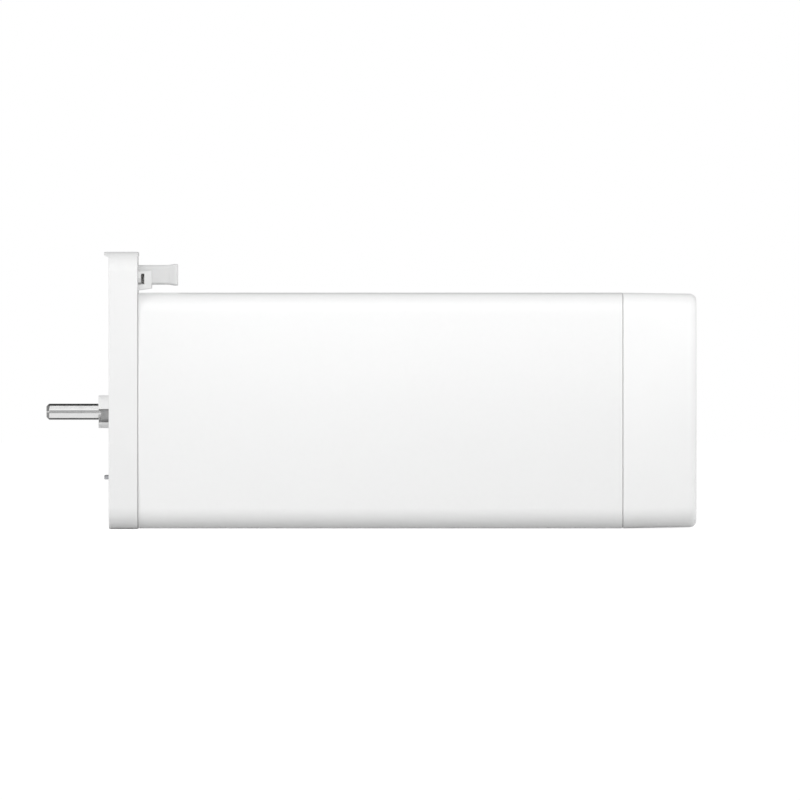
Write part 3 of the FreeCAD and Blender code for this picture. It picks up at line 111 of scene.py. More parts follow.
class Surface:
    """A procedural material, built from nodes in the object's own coordinates."""

    def __init__(self, name, colour, roughness, metallic=0.0):
        self.material = bpy.data.materials.new(name)
        self.material.use_nodes = True
        self.nodes = self.material.node_tree.nodes
        self.links = self.material.node_tree.links
        self.shader = self.nodes["Principled BSDF"]
        self.set(Base_Color=(*colour, 1.0), Roughness=roughness, Metallic=metallic)
        self.place = self.nodes.new("ShaderNodeTexCoord").outputs["Object"]
        surfaces[name] = self

    def set(self, **values):
        for name, value in values.items():
            self.shader.inputs[name.replace("_", " ")].default_value = value

    def add(self, kind, inputs, **settings):
        """Makes a node and returns its outputs. Inputs are values, or outputs of other nodes."""
        node = self.nodes.new("ShaderNode" + kind)
        for name, value in settings.items():
            setattr(node, name, value)
        for socket, value in inputs.items():
            if isinstance(value, bpy.types.NodeSocket):
                self.links.new(value, node.inputs[socket])
            else:
                node.inputs[socket].default_value = value
        return node.outputs

    def noise(self, size_mm, detail=2.0, stretch=None, rough=0.5):
        """Noise with grains of about size_mm, longer along an axis where stretch says so."""
        place = self.place
        if stretch:
            place = self.add("Mapping", {"Vector": place, "Scale": stretch})["Vector"]
        return self.add("TexNoise", {"Vector": place, "Scale": 1.0 / (size_mm * mm), "Detail": detail,
                                     "Roughness": rough})["Fac"]

    def cells(self, size_mm):
        return self.add("TexVoronoi", {"Vector": self.place, "Scale": 1.0 / (size_mm * mm)})["Distance"]

    def waves(self, size_mm, axis="X", distortion=0.0):
        scale = math.pi / 10 / (size_mm * mm)
        return self.add("TexWave", {"Vector": self.place, "Scale": scale, "Distortion": distortion},
                        bands_direction=axis)["Fac"]

    def span(self, source, low, high, to_low=0.0, to_high=1.0):
        return self.add("MapRange", {"Value": source, "From Min": low, "From Max": high,
                                     "To Min": to_low, "To Max": to_high})["Result"]

    def combine(self, operation, a, b):
        return self.add("Math", {0: a, 1: b}, operation=operation)["Value"]

    def tint(self, factor, colour):
        """Mixes the base colour towards another one by a factor."""
        base = self.shader.inputs["Base Color"]
        before = base.links[0].from_socket if base.is_linked else tuple(base.default_value)
        mixed = self.add("Mix", {"A": before, "B": (*colour, 1.0), "Factor": factor}, data_type="RGBA")
        self.links.new(mixed["Result"], base)

    def rough(self, factor, low, high, rubbed=None, change=-0.1):
        """Roughness follows a pattern, and rubbed places differ from it by the given change."""
        level = self.span(factor, 0.3, 0.7, low, high)
        if rubbed is not None:
            level = self.combine("ADD", level, self.combine("MULTIPLY", rubbed, change))
        self.links.new(level, self.shader.inputs["Roughness"])

    def edges(self, width_mm):
        """One near an outer edge, nought on open faces."""
        softened = self.add("Bevel", {"Radius": width_mm * mm}, samples=4)["Normal"]
        plain = self.add("NewGeometry", {})["Normal"]
        dot = self.add("VectorMath", {0: softened, 1: plain}, operation="DOT_PRODUCT")["Value"]
        return self.span(dot, 0.995, 0.9)

    def wear(self, width_mm, colour, share, patch_mm=3.0):
        """Handling marks in patches along the edges. Returns where they are."""
        patches = self.span(self.noise(patch_mm, 3.0), 0.35, 0.65, 0.25, 1.0)
        worn = self.combine("MULTIPLY", self.edges(width_mm), patches)
        self.tint(self.combine("MULTIPLY", worn, share), colour)
        return worn

    def bump(self, height, depth_mm, strength=1.0):
        """Adds relief of the given depth."""
        normal = self.shader.inputs["Normal"]
        inputs = {"Height": height, "Distance": depth_mm * mm, "Strength": strength}
        if normal.is_linked:
            inputs["Normal"] = normal.links[0].from_socket
        self.links.new(self.add("Bump", inputs)["Normal"], normal)


def scaled(colour, factor):
    return tuple(min(1.0, channel * factor) for channel in colour)


def moulded(name, colour, roughness=0.48, grain_mm=0.22, depth_mm=0.006):
    """Spark-eroded moulded plastic: fine grain, slow flow variation, polished edges."""
    surface = Surface(name, colour, roughness)
    grain = surface.noise(grain_mm, 3.0)
    flow = surface.noise(18.0, 3.0)
    surface.tint(surface.span(flow, 0.35, 0.75, 0.0, 0.5), scaled(colour, 0.955))
    surface.tint(surface.span(grain, 0.35, 0.75, 0.0, 0.35), scaled(colour, 0.95))
    worn = surface.wear(0.35, scaled(colour, 0.9), 0.6)
    surface.rough(flow, roughness - 0.05, roughness + 0.06, worn)
    surface.bump(grain, depth_mm)
    return surface


def enamel(name, colour):
    """Powder-coated aluminium: orange peel, slow drift of tone and a thin clear gloss."""
    surface = Surface(name, colour, 0.42)
    peel = surface.noise(1.7)
    drift = surface.noise(45.0)
    surface.tint(surface.span(drift, 0.35, 0.7, 0.0, 0.5), scaled(colour, 0.985))
    surface.tint(surface.span(peel, 0.45, 0.75, 0.0, 0.4), scaled(colour, 0.98))
    worn = surface.wear(0.3, scaled(colour, 0.85), 0.5)
    surface.rough(drift, 0.3, 0.4, worn)
    surface.bump(peel, 0.012, 0.6)
    surface.bump(surface.noise(0.16), 0.0015, 0.5)
    surface.set(Coat_Weight=0.25, Coat_Roughness=0.12)


def ground_steel(name, colour, roughness):
    """Ground or drawn steel with lines along the shaft axis."""
    surface = Surface(name, colour, roughness, 1.0)
    lines = surface.noise(0.09, 4.0, (0.03, 1.0, 1.0))
    cloud = surface.noise(5.0, 3.0)
    surface.tint(surface.span(lines, 0.35, 0.7, 0.0, 0.5), scaled(colour, 0.86))
    surface.tint(surface.span(cloud, 0.45, 0.75, 0.0, 0.35), scaled(colour, 0.85))
    worn = surface.wear(0.3, scaled(colour, 0.7), 0.6)
    surface.rough(lines, roughness - 0.05, roughness + 0.08, worn, 0.08)
    surface.bump(lines, 0.002)


def cast_metal(name, colour, roughness, grain_mm, depth_mm, shade=0.8):
    """Plated, sintered or machined metal with a grain."""
    surface = Surface(name, colour, roughness, 1.0)
    grain = surface.noise(grain_mm, 4.0, rough=0.6)
    cloud = surface.noise(grain_mm * 14, 3.0)
    surface.tint(surface.span(grain, 0.4, 0.7, 0.0, 0.5), scaled(colour, shade))
    surface.tint(surface.span(cloud, 0.4, 0.7, 0.0, 0.4), scaled(colour, shade))
    worn = surface.wear(0.25, scaled(colour, 1.3), 0.7, 1.5)
    surface.rough(cloud, roughness - 0.06, roughness + 0.08, worn, -0.12)
    surface.bump(grain, depth_mm)
    return surface


# Copies of the white plastic at different levels. The collar's copy is painted lighter, standing in for the
# light that the head plate keeps off the collar and the latch bracket. The lever's copy is greyer: its own
# tone, with painted shade from the head plate.
for name, level in (("white_plastic", 0.93), ("collar_plastic", 0.97), ("cap_plastic", 0.96),
                    ("plate_plastic", 0.90), ("lever_plastic", 0.85)):
    moulded(name, (level, level + 0.002, level))
moulded("grey_plastic", (0.30, 0.305, 0.31), 0.5)
moulded("black_plastic", (0.022, 0.022, 0.024), 0.45)
moulded("gear_plastic", (0.78, 0.76, 0.70), 0.35, 0.4, 0.003)
surface = moulded("clear_plastic", (0.93, 0.95, 0.95), 0.16, 0.5, 0.002)
surface.set(Transmission_Weight=0.85, IOR=1.49)
enamel("white_enamel", (0.93, 0.932, 0.93))
ground_steel("bright_steel", (0.92, 0.92, 0.915), 0.12)
ground_steel("spring_steel", (0.42, 0.41, 0.40), 0.3)
cast_metal("gear_steel", (0.45, 0.45, 0.46), 0.36, 0.25, 0.004)
cast_metal("zinc_steel", (0.66, 0.67, 0.70), 0.3, 0.5, 0.003)
cast_metal("sintered_bronze", (0.58, 0.38, 0.20), 0.42, 0.15, 0.012, 0.6)
cast_metal("sintered_iron", (0.60, 0.60, 0.60), 0.5, 0.15, 0.01, 0.7)
cast_metal("contact_brass", (0.80, 0.60, 0.30), 0.25, 0.3, 0.002)

# A stack of thin sheets
surface = cast_metal("core_steel", (0.33, 0.33, 0.34), 0.45, 0.3, 0.003)
sheets = surface.waves(0.5)
surface.bump(sheets, 0.05)
surface.tint(surface.span(sheets, 0.0, 0.2, 0.7, 0.0), (0.10, 0.10, 0.11))

# Lacquered wire, turn beside turn, with painted shade darkening the grooves between the turns
surface = Surface("copper_wire", (0.62, 0.20, 0.07), 0.28, 0.9)
winds = surface.waves(0.45, "DIAGONAL", 1.2)
# This tint paints shade into the grooves between the turns.
surface.tint(surface.span(winds, 0.0, 0.35, 0.85, 0.0), (0.12, 0.03, 0.012))
surface.tint(surface.span(surface.noise(3.0), 0.4, 0.7, 0.0, 0.4), (0.45, 0.12, 0.04))
surface.rough(surface.noise(2.0), 0.24, 0.38)
surface.bump(winds, 0.12)
surface.set(Coat_Weight=0.4, Coat_Roughness=0.15)

# Pressed and fired grains
surface = Surface("ferrite", (0.055, 0.055, 0.06), 0.55)
surface.tint(surface.span(surface.cells(0.35), 0.2, 0.6, 0.0, 0.6), (0.11, 0.11, 0.12))
surface.rough(surface.noise(3.0), 0.45, 0.65)
surface.bump(surface.noise(0.2, 4.0), 0.01)

# Pressed graphite with worn specks
surface = Surface("carbon", (0.035, 0.035, 0.038), 0.4)
surface.tint(surface.span(surface.noise(0.3, 4.0), 0.45, 0.75, 0.0, 0.8), (0.09, 0.09, 0.095))
surface.rough(surface.noise(1.0), 0.3, 0.5)
surface.bump(surface.noise(0.12, 3.0), 0.006)

# Solder mask over copper traces, bare pads and the weave of the glass
surface = Surface("board_green", (0.012, 0.085, 0.035), 0.3)
traces = surface.combine("MULTIPLY", surface.waves(1.6, "Y", 3.0), surface.waves(5.0, "X", 2.0))
weave = surface.combine("MULTIPLY", surface.waves(0.5, "X"), surface.waves(0.5, "Y"))
surface.tint(surface.span(traces, 0.45, 0.5, 0.0, 0.55), (0.03, 0.19, 0.08))
surface.tint(surface.span(surface.cells(4.2), 0.14, 0.12, 0.0, 0.9), (0.62, 0.60, 0.55))
surface.rough(surface.noise(6.0), 0.25, 0.38)
surface.bump(traces, 0.03)
surface.bump(weave, 0.01)

# Dull moulded rubber
surface = Surface("damper_rubber", (0.028, 0.028, 0.03), 0.8)
surface.tint(surface.span(surface.noise(1.2, 4.0), 0.4, 0.75, 0.0, 0.6), (0.055, 0.054, 0.052))
surface.rough(surface.noise(2.0), 0.7, 0.9)
surface.bump(surface.noise(0.3, 3.0), 0.02)

# Drawn insulation of the leads
surface = Surface("wire_sheath", (0.55, 0.04, 0.03), 0.42)
surface.tint(surface.span(surface.noise(2.5, 3.0), 0.35, 0.75, 0.0, 0.5), (0.40, 0.025, 0.02))
surface.rough(surface.noise(1.5), 0.36, 0.5)
surface.bump(surface.noise(0.25, 3.0), 0.006)


# Mesh building. Points are in millimetres until the mesh is made.

def grow_mesh(name, build):
    """Runs build on an empty bmesh and returns the mesh in metres."""
    bm = bmesh.new()
    build(bm)
    bmesh.ops.remove_doubles(bm, verts=bm.verts, dist=1e-4)
    bmesh.ops.recalc_face_normals(bm, faces=bm.faces)
    bmesh.ops.scale(bm, vec=(mm, mm, mm), verts=bm.verts)
    mesh = bpy.data.meshes.new(name)
    bm.to_mesh(mesh)
    bm.free()
    return mesh


def add_bevel(obj, width_mm):
    bevel = obj.modifiers.new("edges", "BEVEL")
    bevel.width = width_mm * mm
    bevel.segments = 2
    bevel.limit_method = "ANGLE"
    bevel.angle_limit = math.radians(35)
    bevel.harden_normals = True


def piece(name, build, slot, body="housing", replaces=(), sharp=35.0, bevel_mm=0.0, look=None):
    """Makes an object that rides on a body, with smooth rounds and flat faces."""
    mesh = build if isinstance(build, bpy.types.Mesh) else grow_mesh(name, build)
    obj = bpy.data.objects.new(name, mesh)
    scene.collection.objects.link(obj)
    mesh.materials.append(surfaces[look or slot].material)
    for polygon in mesh.polygons:
        polygon.use_smooth = True
    mesh.set_sharp_from_angle(angle=math.radians(sharp))
    if bevel_mm:
        add_bevel(obj, bevel_mm)
    weigh = obj.modifiers.new("flats", "WEIGHTED_NORMAL")
    weigh.keep_sharp = True
    weigh.weight = 80
    if body:
        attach(obj, body)
    if replaces:
        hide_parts(*replaces)
    return obj


def carved(base, changes):
    """The mesh of a base solid with other solids cut away or joined on."""
    def temporary(build):
        obj = bpy.data.objects.new("carving", grow_mesh("carving", build))
        scene.collection.objects.link(obj)
        return obj

    target = temporary(base)
    solids = [target]
    for operation, build in changes:
        solids.append(temporary(build))
        change = target.modifiers.new("carve", "BOOLEAN")
        change.operation = operation
        change.solver = "EXACT"
        change.object = solids[-1]
    graph = bpy.context.evaluated_depsgraph_get()
    mesh = bpy.data.meshes.new_from_object(target.evaluated_get(graph))
    for obj in solids:
        bpy.data.objects.remove(obj)
    return mesh


def loop_verts(bm, points):
    return [bm.verts.new(point) for point in points]


def bridge(bm, first, second):
    """Quads between two closed rings with equal counts."""
    for index in range(len(first)):
        after = (index + 1) % len(first)
        bm.faces.new((first[index], first[after], second[after], second[index]))


def skin(bm, rings):
    """Quads through a series of rings of points; returns the rings' vertices."""
    loops = [loop_verts(bm, ring) for ring in rings]
    for first, second in zip(loops, loops[1:]):
        bridge(bm, first, second)
    return loops


def capped(bm, rings):
    """A form through a series of rings, flat at both ends."""
    loops = skin(bm, rings)
    fill(bm, loops[0])
    fill(bm, loops[-1])


def looped(bm, rings):
    """A form through a series of rings whose last is joined to the first, like a pipe's wall."""
    loops = skin(bm, rings)
    bridge(bm, loops[-1], loops[0])


def encloses(ring, y, z):
    """Whether a ring of vertices goes round a point, seen along X."""
    odd = False
    for index, vert in enumerate(ring):
        before = ring[index - 1].co
        here = vert.co
        if (here.z > z) != (before.z > z):
            odd ^= y < here.y + (before.y - here.y) * (z - here.z) / (before.z - here.z)
    return odd


def fill(bm, *loops):
    """Flat face square to X inside the first ring, with the other rings as holes."""
    if len(loops) == 1:
        bm.faces.new(loops[0])
        return
    verts = []
    edges = []
    for loop in loops:
        first = len(verts)
        edges += [(first + index, first + (index + 1) % len(loop)) for index in range(len(loop))]
        verts += loop
    places = [(vert.co.y, vert.co.z) for vert in verts]
    _, _, triangles, sources, _, _ = delaunay_2d_cdt(places, edges, [], 0, 1e-7)
    for triangle in triangles:
        corners = [verts[sources[corner][0]] for corner in triangle]
        middle_y = sum(vert.co.y for vert in corners) / 3
        middle_z = sum(vert.co.z for vert in corners) / 3
        in_hole = any(encloses(hole, middle_y, middle_z) for hole in loops[1:])
        if encloses(loops[0], middle_y, middle_z) and not in_hole:
            bm.faces.new(corners)


def at_x(x, outline):
    return [(x, y, z) for y, z in outline]


def stations(outline_of, pairs):
    """Rings along X. Each pair is an x and the value that outline_of makes the outline from."""
    return [at_x(x, outline_of(value)) for x, value in pairs]


def arc(radius, first, last, steps, y=0.0, z=0.0):
    """Points of an arc in the YZ plane, with both its ends."""
    turns = [first + (last - first) * step / steps for step in range(steps + 1)]
    return [(y + radius * math.cos(turn), z + radius * math.sin(turn)) for turn in turns]


def circle(radius, y=0.0, z=0.0, count=48):
    return arc(radius, 0.0, 2 * math.pi, count, y, z)[:-1]


def rounded(half_width, z0, z1, corner, steps):
    """Outline of a rectangle in the YZ plane with round corners."""
    y = half_width - corner
    centres = ((y, z1 - corner), (-y, z1 - corner), (-y, z0 + corner), (y, z0 + corner))
    points = []
    for quarter, (centre_y, centre_z) in enumerate(centres):
        first = quarter * math.pi / 2
        points += arc(corner, first, first + math.pi / 2, steps, centre_y, centre_z)
    return points


def body_outline(inset, draft=0.0):
    """The body's outline: bowed sides, flat ends, round corners."""
    half_height = body_height / 2 - inset
    corner = body_corner - inset + draft
    bow = side_bow_radius - inset
    bow_y = body_width / 2 - inset - bow
    corner_z = half_height - corner
    corner_y = bow_y + math.sqrt((bow - corner) ** 2 - corner_z ** 2)
    slope = math.atan2(corner_z, corner_y - bow_y)
    quarter = arc(bow, 0.0, slope, 6, bow_y)
    quarter += arc(corner, slope, math.pi / 2, 12, corner_y, corner_z)[1:]
    outline = list(quarter)
    outline += [(-y, z) for y, z in reversed(quarter)]
    outline += [(-y, -z) for y, z in quarter[1:]]
    outline += [(y, -z) for y, z in reversed(quarter[1:])]
    return [(y, body_centre_z + z) for y, z in outline]


def rounding(radius, steps=4):
    """Pairs of (distance along, inset) for a quarter round that starts on the side wall."""
    turns = [math.pi / 2 * step / steps for step in range(steps + 1)]
    return [(radius * math.sin(turn), radius * (1 - math.cos(turn))) for turn in turns]


def pit(bm, outline_of, x, depth, rim, floor=False):
    """The wall of a pit from the face at x into depth (signed), with a rounded rim.

    outline_of(grow) gives the pit's outline widened by grow. Returns the outer and the deep ring."""
    way = 1 if depth > 0 else -1
    pairs = [(x + way * (rim - along), inset) for along, inset in reversed(rounding(rim, 3))]
    loops = skin(bm, stations(outline_of, pairs + [(x + depth, 0.0)]))
    if floor:
        fill(bm, loops[-1])
    return loops[0], loops[-1]


def extrude_profile(bm, profile, y0, y1, rim=0.0, segments=2):
    """A solid from an outline of (x, z) points between two places along Y, with softened edges."""
    low, high = (loop_verts(bm, [(x, y, z) for x, z in profile]) for y in (y0, y1))
    bm.faces.new(low)
    bm.faces.new(list(reversed(high)))
    bridge(bm, high, low)
    if rim:
        edges = list(dict.fromkeys(edge for vert in low + high for edge in vert.link_edges))
        bmesh.ops.bevel(bm, geom=edges, offset=rim, segments=segments, profile=0.5, affect="EDGES")


def box_solid(bm, x0, x1, y0, y1, z0, z1, rim=0.0, segments=2):
    extrude_profile(bm, [(x0, z0), (x1, z0), (x1, z1), (x0, z1)], y0, y1, rim, segments)


def bar(bm, outline_of, pairs):
    """A closed bar along X. Pairs are an x and what outline_of makes the outline from, such as an inset."""
    capped(bm, stations(outline_of, pairs))


# Body sleeve

seam_width = 0.75
seam_depth = 0.65
cap_seam = [(0.0, 1.1), (0.07, 0.7), (0.1, 0.3), (0.2, 0.09), (0.38, 0.0)]


def build_sleeve(bm):
    head_seam = [(0.0, seam_depth), (1 / 3, seam_depth * 0.38), (2 / 3, 0.07), (1.0, 0.0)]
    outside = [(plate_depth + part * seam_width, inset) for part, inset in head_seam]
    outside += [(cap_x - along, inset) for along, inset in reversed(cap_seam)]
    bore = [(cap_x, sleeve_wall), (plate_depth, sleeve_wall)]
    looped(bm, stations(body_outline, outside + bore))


piece("body_shell", build_sleeve, "white_enamel", replaces=["body_sleeve"])


# Head plate

# The lips along its top edge, as (x, height of the underside, inset)
front_lip = [(-1.76, 58.85, 0.32), (-1.74, 58.75, 0.18), (-1.64, 58.6, 0.07), (-1.5, 58.5, 0.03),
             (0.3, 57.6, 0.03)]
rear_lip = [(10.5, 58.2, 0.03), (10.85, 58.55, 0.03), (10.97, 58.67, 0.07), (11.03, 58.75, 0.18)]
screw_places = [(y, z) for y in (-head_screw_offset, head_screw_offset)
                for z in (-head_screw_offset, head_screw_offset)]
peg_radius = 0.82


def plate_outline(inset):
    return rounded(plate_half_width - inset, plate_bottom + inset, plate_rise - inset,
                   plate_corner - inset, 12)


def panel_outline(grow):
    border = 3.0
    return rounded(plate_half_width - border + grow, plate_bottom + border - grow,
                   body_top - border + grow, 5.0 + grow, 10)


def pocket_outline(grow):
    return rounded(pocket_half_width + grow, pocket_bottom - grow, pocket_top + grow, 0.5 + grow, 4)


def lip_outline(low, inset):
    """The part of the plate's outline above a height."""
    corner = plate_corner - inset
    centre_z = plate_rise - plate_corner
    first = math.asin((low - centre_z) / corner)
    side = arc(corner, first, math.pi / 2, 8, plate_half_width - plate_corner, centre_z)
    return side + [(-y, z) for y, z in reversed(side)]


def build_head(bm):
    front_rim = 0.5
    rear_rim = 0.3
    middle = plate_depth / 2
    pairs = [(front_rim - along, inset) for along, inset in reversed(rounding(front_rim))]
    pairs += [(plate_depth - rear_rim + along, inset) for along, inset in rounding(rear_rim)]
    outer = skin(bm, stations(plate_outline, pairs))
    panel_rim, panel_floor = pit(bm, panel_outline, 0.0, panel_recess, 0.2)
    pocket_front, _ = pit(bm, pocket_outline, 0.0, middle, 0.3)
    pocket_rear, _ = pit(bm, pocket_outline, plate_depth, -middle, 0.3)
    fill(bm, outer[0], panel_rim, pocket_front)
    fill(bm, outer[-1], pocket_rear)
    # Radius, place, sides, depth and rim of each round pit
    pits = [(3.2, place, 48, head_screw_pit, 0.25) for place in screw_places]
    pits += [(peg_radius + 0.02, place, 24, 1.5, 0.06) for place in peg_places]
    pits.append((collar_base_radius + 0.05, (0.0, 0.0), 48, 2.0, 0.12))
    holes = []
    for radius, place, count, depth, rim in pits:
        hole, _ = pit(bm, lambda grow: circle(radius + grow, *place, count), panel_recess, depth, rim, True)
        holes.append(hole)
    fill(bm, panel_floor, *holes)
    for lip in (front_lip, rear_lip):
        capped(bm, [at_x(x, lip_outline(low, inset)) for x, low, inset in lip])


piece("head_shell", build_head, "white_plastic", replaces=["head_plate"], look="plate_plastic")


# Drive shaft: rounded hexagon, journal, inner hexagon and pilot

shaft_across_flats = 6.0
journal_radius = 3.8
pilot_radius = 1.25


def hex_outline(edge_radius, inset, steps=8):
    """The shaft's hexagon, with an edge towards -Y and +Y and flats above and below."""
    radius = max(edge_radius - inset, 0.02)
    centre = (shaft_across_flats / 2 - inset - radius) / math.cos(math.pi / 6)
    points = []
    for side in range(6):
        middle = math.pi / 3 * side
        points += arc(radius, middle - math.pi / 6, middle + math.pi / 6, steps,
                      centre * math.cos(middle), centre * math.sin(middle))
    return points


def build_shaft(bm):
    outer_edge = 1.65
    inner_edge = 0.15
    bar(bm, lambda inset: hex_outline(outer_edge, inset),
        [(-23.6, 1.1), (-23.57, 0.98), (-23.5, 0.88), (-22.78, 0.16), (-22.66, 0.07), (-22.5, 0.02),
         (-22.3, 0.0), (-2.45, 0.0)])
    bar(bm, lambda inset: circle(journal_radius - inset, count=64),
        [(-2.45, 0.2), (-2.25, 0.0), (10.5, 0.0), (10.7, 0.2)])
    bar(bm, lambda inset: hex_outline(inner_edge, inset, 2), [(10.7, 0.0), (14.85, 0.0), (15.0, 0.15)])
    bar(bm, lambda inset: circle(pilot_radius - inset, count=32), [(15.0, 0.0), (17.8, 0.0), (18.0, 0.2)])


piece("shaft", build_shaft, "bright_steel", "output_shaft", ["drive_shaft"])


# Collar: a slotted spigot on a flush base

def build_collar(bm):
    outer = 6.15
    inner = 5.02
    slot_top = 1.0
    slot_bottom = 4.0
    base_x = 0.5
    foot_x = 2.5
    foot_end = 4.0
    foot_radius = 8.4
    count = 56

    def ends(radius):
        """Angles of the slot's lower and upper side, once round the spigot."""
        return math.pi + math.asin(slot_bottom / radius), 3 * math.pi - math.asin(slot_top / radius)

    def outline(inset):
        outer_low, outer_high = ends(outer)
        inner_low, inner_high = ends(inner)
        return (arc(outer - inset, outer_low, outer_high, count)
                + arc(inner + inset * 0.5, inner_high, inner_low, count))

    loops = skin(bm, stations(outline, [
        (-4.05, 0.22), (-3.99, 0.1), (-3.9, 0.03), (-3.8, 0.0), (base_x, 0.0)]))
    for loop in (loops[0], loops[-1]):
        for index in range(count):
            mirror = len(loop) - 1 - index
            bm.faces.new((loop[index], loop[index + 1], loop[mirror - 1], loop[mirror]))
    looped(bm, stations(lambda radius: circle(radius, count=64), [
        (base_x, inner), (base_x, 6.7), (0.55, 6.78), (0.65, collar_base_radius),
        (foot_x, collar_base_radius), (foot_x, foot_radius), (foot_end, foot_radius), (foot_end, inner)]))


# The collar's plastic is painted lighter, standing in for the light that the head plate keeps off it.
piece("collar", build_collar, "white_plastic", replaces=["shaft_collar"], look="collar_plastic")


# Fasteners

screw_head_radius = 2.75
screw_head_height = 2.0
screw_radius = 1.5
screw_key_radius = 1.44
screw_pitch = 0.5
screw_sides = 72


def build_screw(bm, seat_x, way, y, z, length):
    """A socket screw along X. Its head stands from seat_x against way, its shank goes along way."""
    turns = [2 * math.pi * index / screw_sides for index in range(screw_sides)]

    def ring(x, reaches):
        return [(x, y + reach * math.cos(turn), z + reach * math.sin(turn))
                for turn, reach in zip(turns, reaches)]

    def plain(x, radius):
        return ring(x, [radius] * screw_sides)

    def knurled(x):
        return ring(x, [screw_head_radius - (0.07 if index % 2 else 0.0) for index in range(screw_sides)])

    def key(x, radius):
        """A hexagon that touches a circle of the given radius with its corners."""
        parts = [(turn + math.pi / 6) % (math.pi / 3) - math.pi / 6 for turn in turns]
        return ring(x, [radius * math.cos(math.pi / 6) / math.cos(part) for part in parts])

    top = seat_x - way * screw_head_height
    rings = [
        key(top + way * 1.25, 0.35),
        key(top + way * 1.05, screw_key_radius),
        key(top + way * 0.1, screw_key_radius),
        plain(top, screw_key_radius * 1.12),
        plain(top, screw_head_radius - 0.42),
        plain(top + way * 0.06, screw_head_radius - 0.25),
        plain(top + way * 0.22, screw_head_radius - 0.1),
        knurled(top + way * 0.34),
        knurled(seat_x - way * 0.1),
        plain(seat_x, screw_head_radius - 0.15),
        plain(seat_x, screw_radius),
    ]
    for number in range(int((length - 0.6) / screw_pitch)):
        start = seat_x + way * (0.2 + number * screw_pitch)
        rings.append(plain(start, screw_radius))
        rings.append(plain(start + way * screw_pitch / 2, screw_radius - 0.22))
    rings.append(plain(seat_x + way * (length - 0.3), screw_radius))
    rings.append(plain(seat_x + way * length, screw_radius - 0.3))
    capped(bm, rings)


def build_head_screws(bm):
    for y, z in screw_places:
        build_screw(bm, panel_recess + head_screw_pit, 1, y, z, 7.0)


def build_cap_screws(bm):
    for side in (-1, 1):
        build_screw(bm, tube_floor_x, -1, 0.0, body_centre_z + side * cap_screw_offset, 12.0)


def build_pegs(bm):
    for place in peg_places:
        bar(bm, lambda inset: circle(peg_radius - inset, *place, 32),
            [(-1.73, 0.3), (-1.66, 0.14), (-1.5, 0.03), (-1.35, 0.0), (2.0, 0.0)])


piece("plate_screws", build_head_screws, "zinc_steel", replaces=["head_screws"], sharp=25)
piece("cap_screws", build_cap_screws, "zinc_steel", replaces=["end_cap_screws"], sharp=25)
piece("pegs", build_pegs, "bright_steel", replaces=["locating_pegs"], look="zinc_steel")


# End cap

def window_outline(grow):
    return rounded(window_half_width + grow, body_centre_z - window_half_height - grow,
                   body_centre_z + window_half_height + grow, window_corner + grow, 10)


def build_cap(bm):
    radius = 2.6
    draft = 0.36
    wall = 2.6
    root_wall = 3.55
    root_end = 194.9
    boss_x = 196.5
    boss_radius = 4.8
    screw_bore = 1.52
    outer = skin(
        bm, stations(body_outline, [(cap_x + along, inset) for along, inset in cap_seam])
        + [at_x(cap_end - radius + along, body_outline(draft + inset, draft))
           for along, inset in rounding(radius, 9)])
    window_rim, window_floor = pit(bm, window_outline, cap_end, panel_x - cap_end, 0.4)
    tubes = []
    bosses = []
    for side in (-1, 1):
        def tube_outline(reach):
            return circle(reach, 0.0, body_centre_z + side * cap_screw_offset)

        rim, floor = pit(bm, lambda grow: tube_outline(tube_radius + grow), cap_end,
                         tube_floor_x - cap_end, 0.5)
        boss = skin(bm, stations(tube_outline, [
            (tube_floor_x, screw_bore), (boss_x, screw_bore), (boss_x, boss_radius),
            (panel_x, boss_radius)]))
        bridge(bm, floor, boss[0])
        tubes.append(rim)
        bosses.append(boss[-1])
    fill(bm, outer[-1], window_rim, *tubes)
    inner = skin(bm, stations(body_outline, [
        (cap_x, root_wall), (root_end, root_wall), (root_end, wall), (panel_x, wall)]))
    bridge(bm, inner[0], outer[0])
    fill(bm, inner[-1], window_floor, *bosses)
    looped(bm, stations(body_outline, [
        (187.9, 2.9), (188.2, 2.35), (194.4, 2.35), (194.4, root_wall), (187.9, 3.4)]))


piece("cap_shell", build_cap, "white_plastic", replaces=["end_cap"], look="cap_plastic")


# Connections on the panel behind the cap's window

opening_gap = 0.02
stake_radius = 2.4
stake_places = [(y, body_centre_z + z) for y in (-15.5, 15.5) for z in (-24.0, 24.0)]
socket_depth = 11.0
inlet_wall = 1.8
inlet_pin_radius = 1.2
inlet_pin_y = 4.3
data_case_half_width = 7.6
data_case_half_height = 5.8
contact_pitch = 1.02
button_radius = 3.25
light_radius = 1.5


def inlet_outline(grow):
    reach = inlet_half_height + grow
    return rounded(inlet_half_width + grow, inlet_z - reach, inlet_z + reach, reach, 12)


def data_case_outline(inset):
    reach = data_case_half_height - inset
    return rounded(data_case_half_width - inset, data_z - reach, data_z + reach, 0.4, 3)


def data_hole_outline(grow):
    """The socket's mouth, with a notch for the plug's catch."""
    side = data_half_width + grow
    notch = 2.8 + grow
    low = data_z - data_half_height - grow
    high = data_z + data_half_height + grow
    return [(side, high), (notch, high), (notch, high + 1.1), (-notch, high + 1.1), (-notch, high),
            (-side, high), (-side, low), (side, low)]


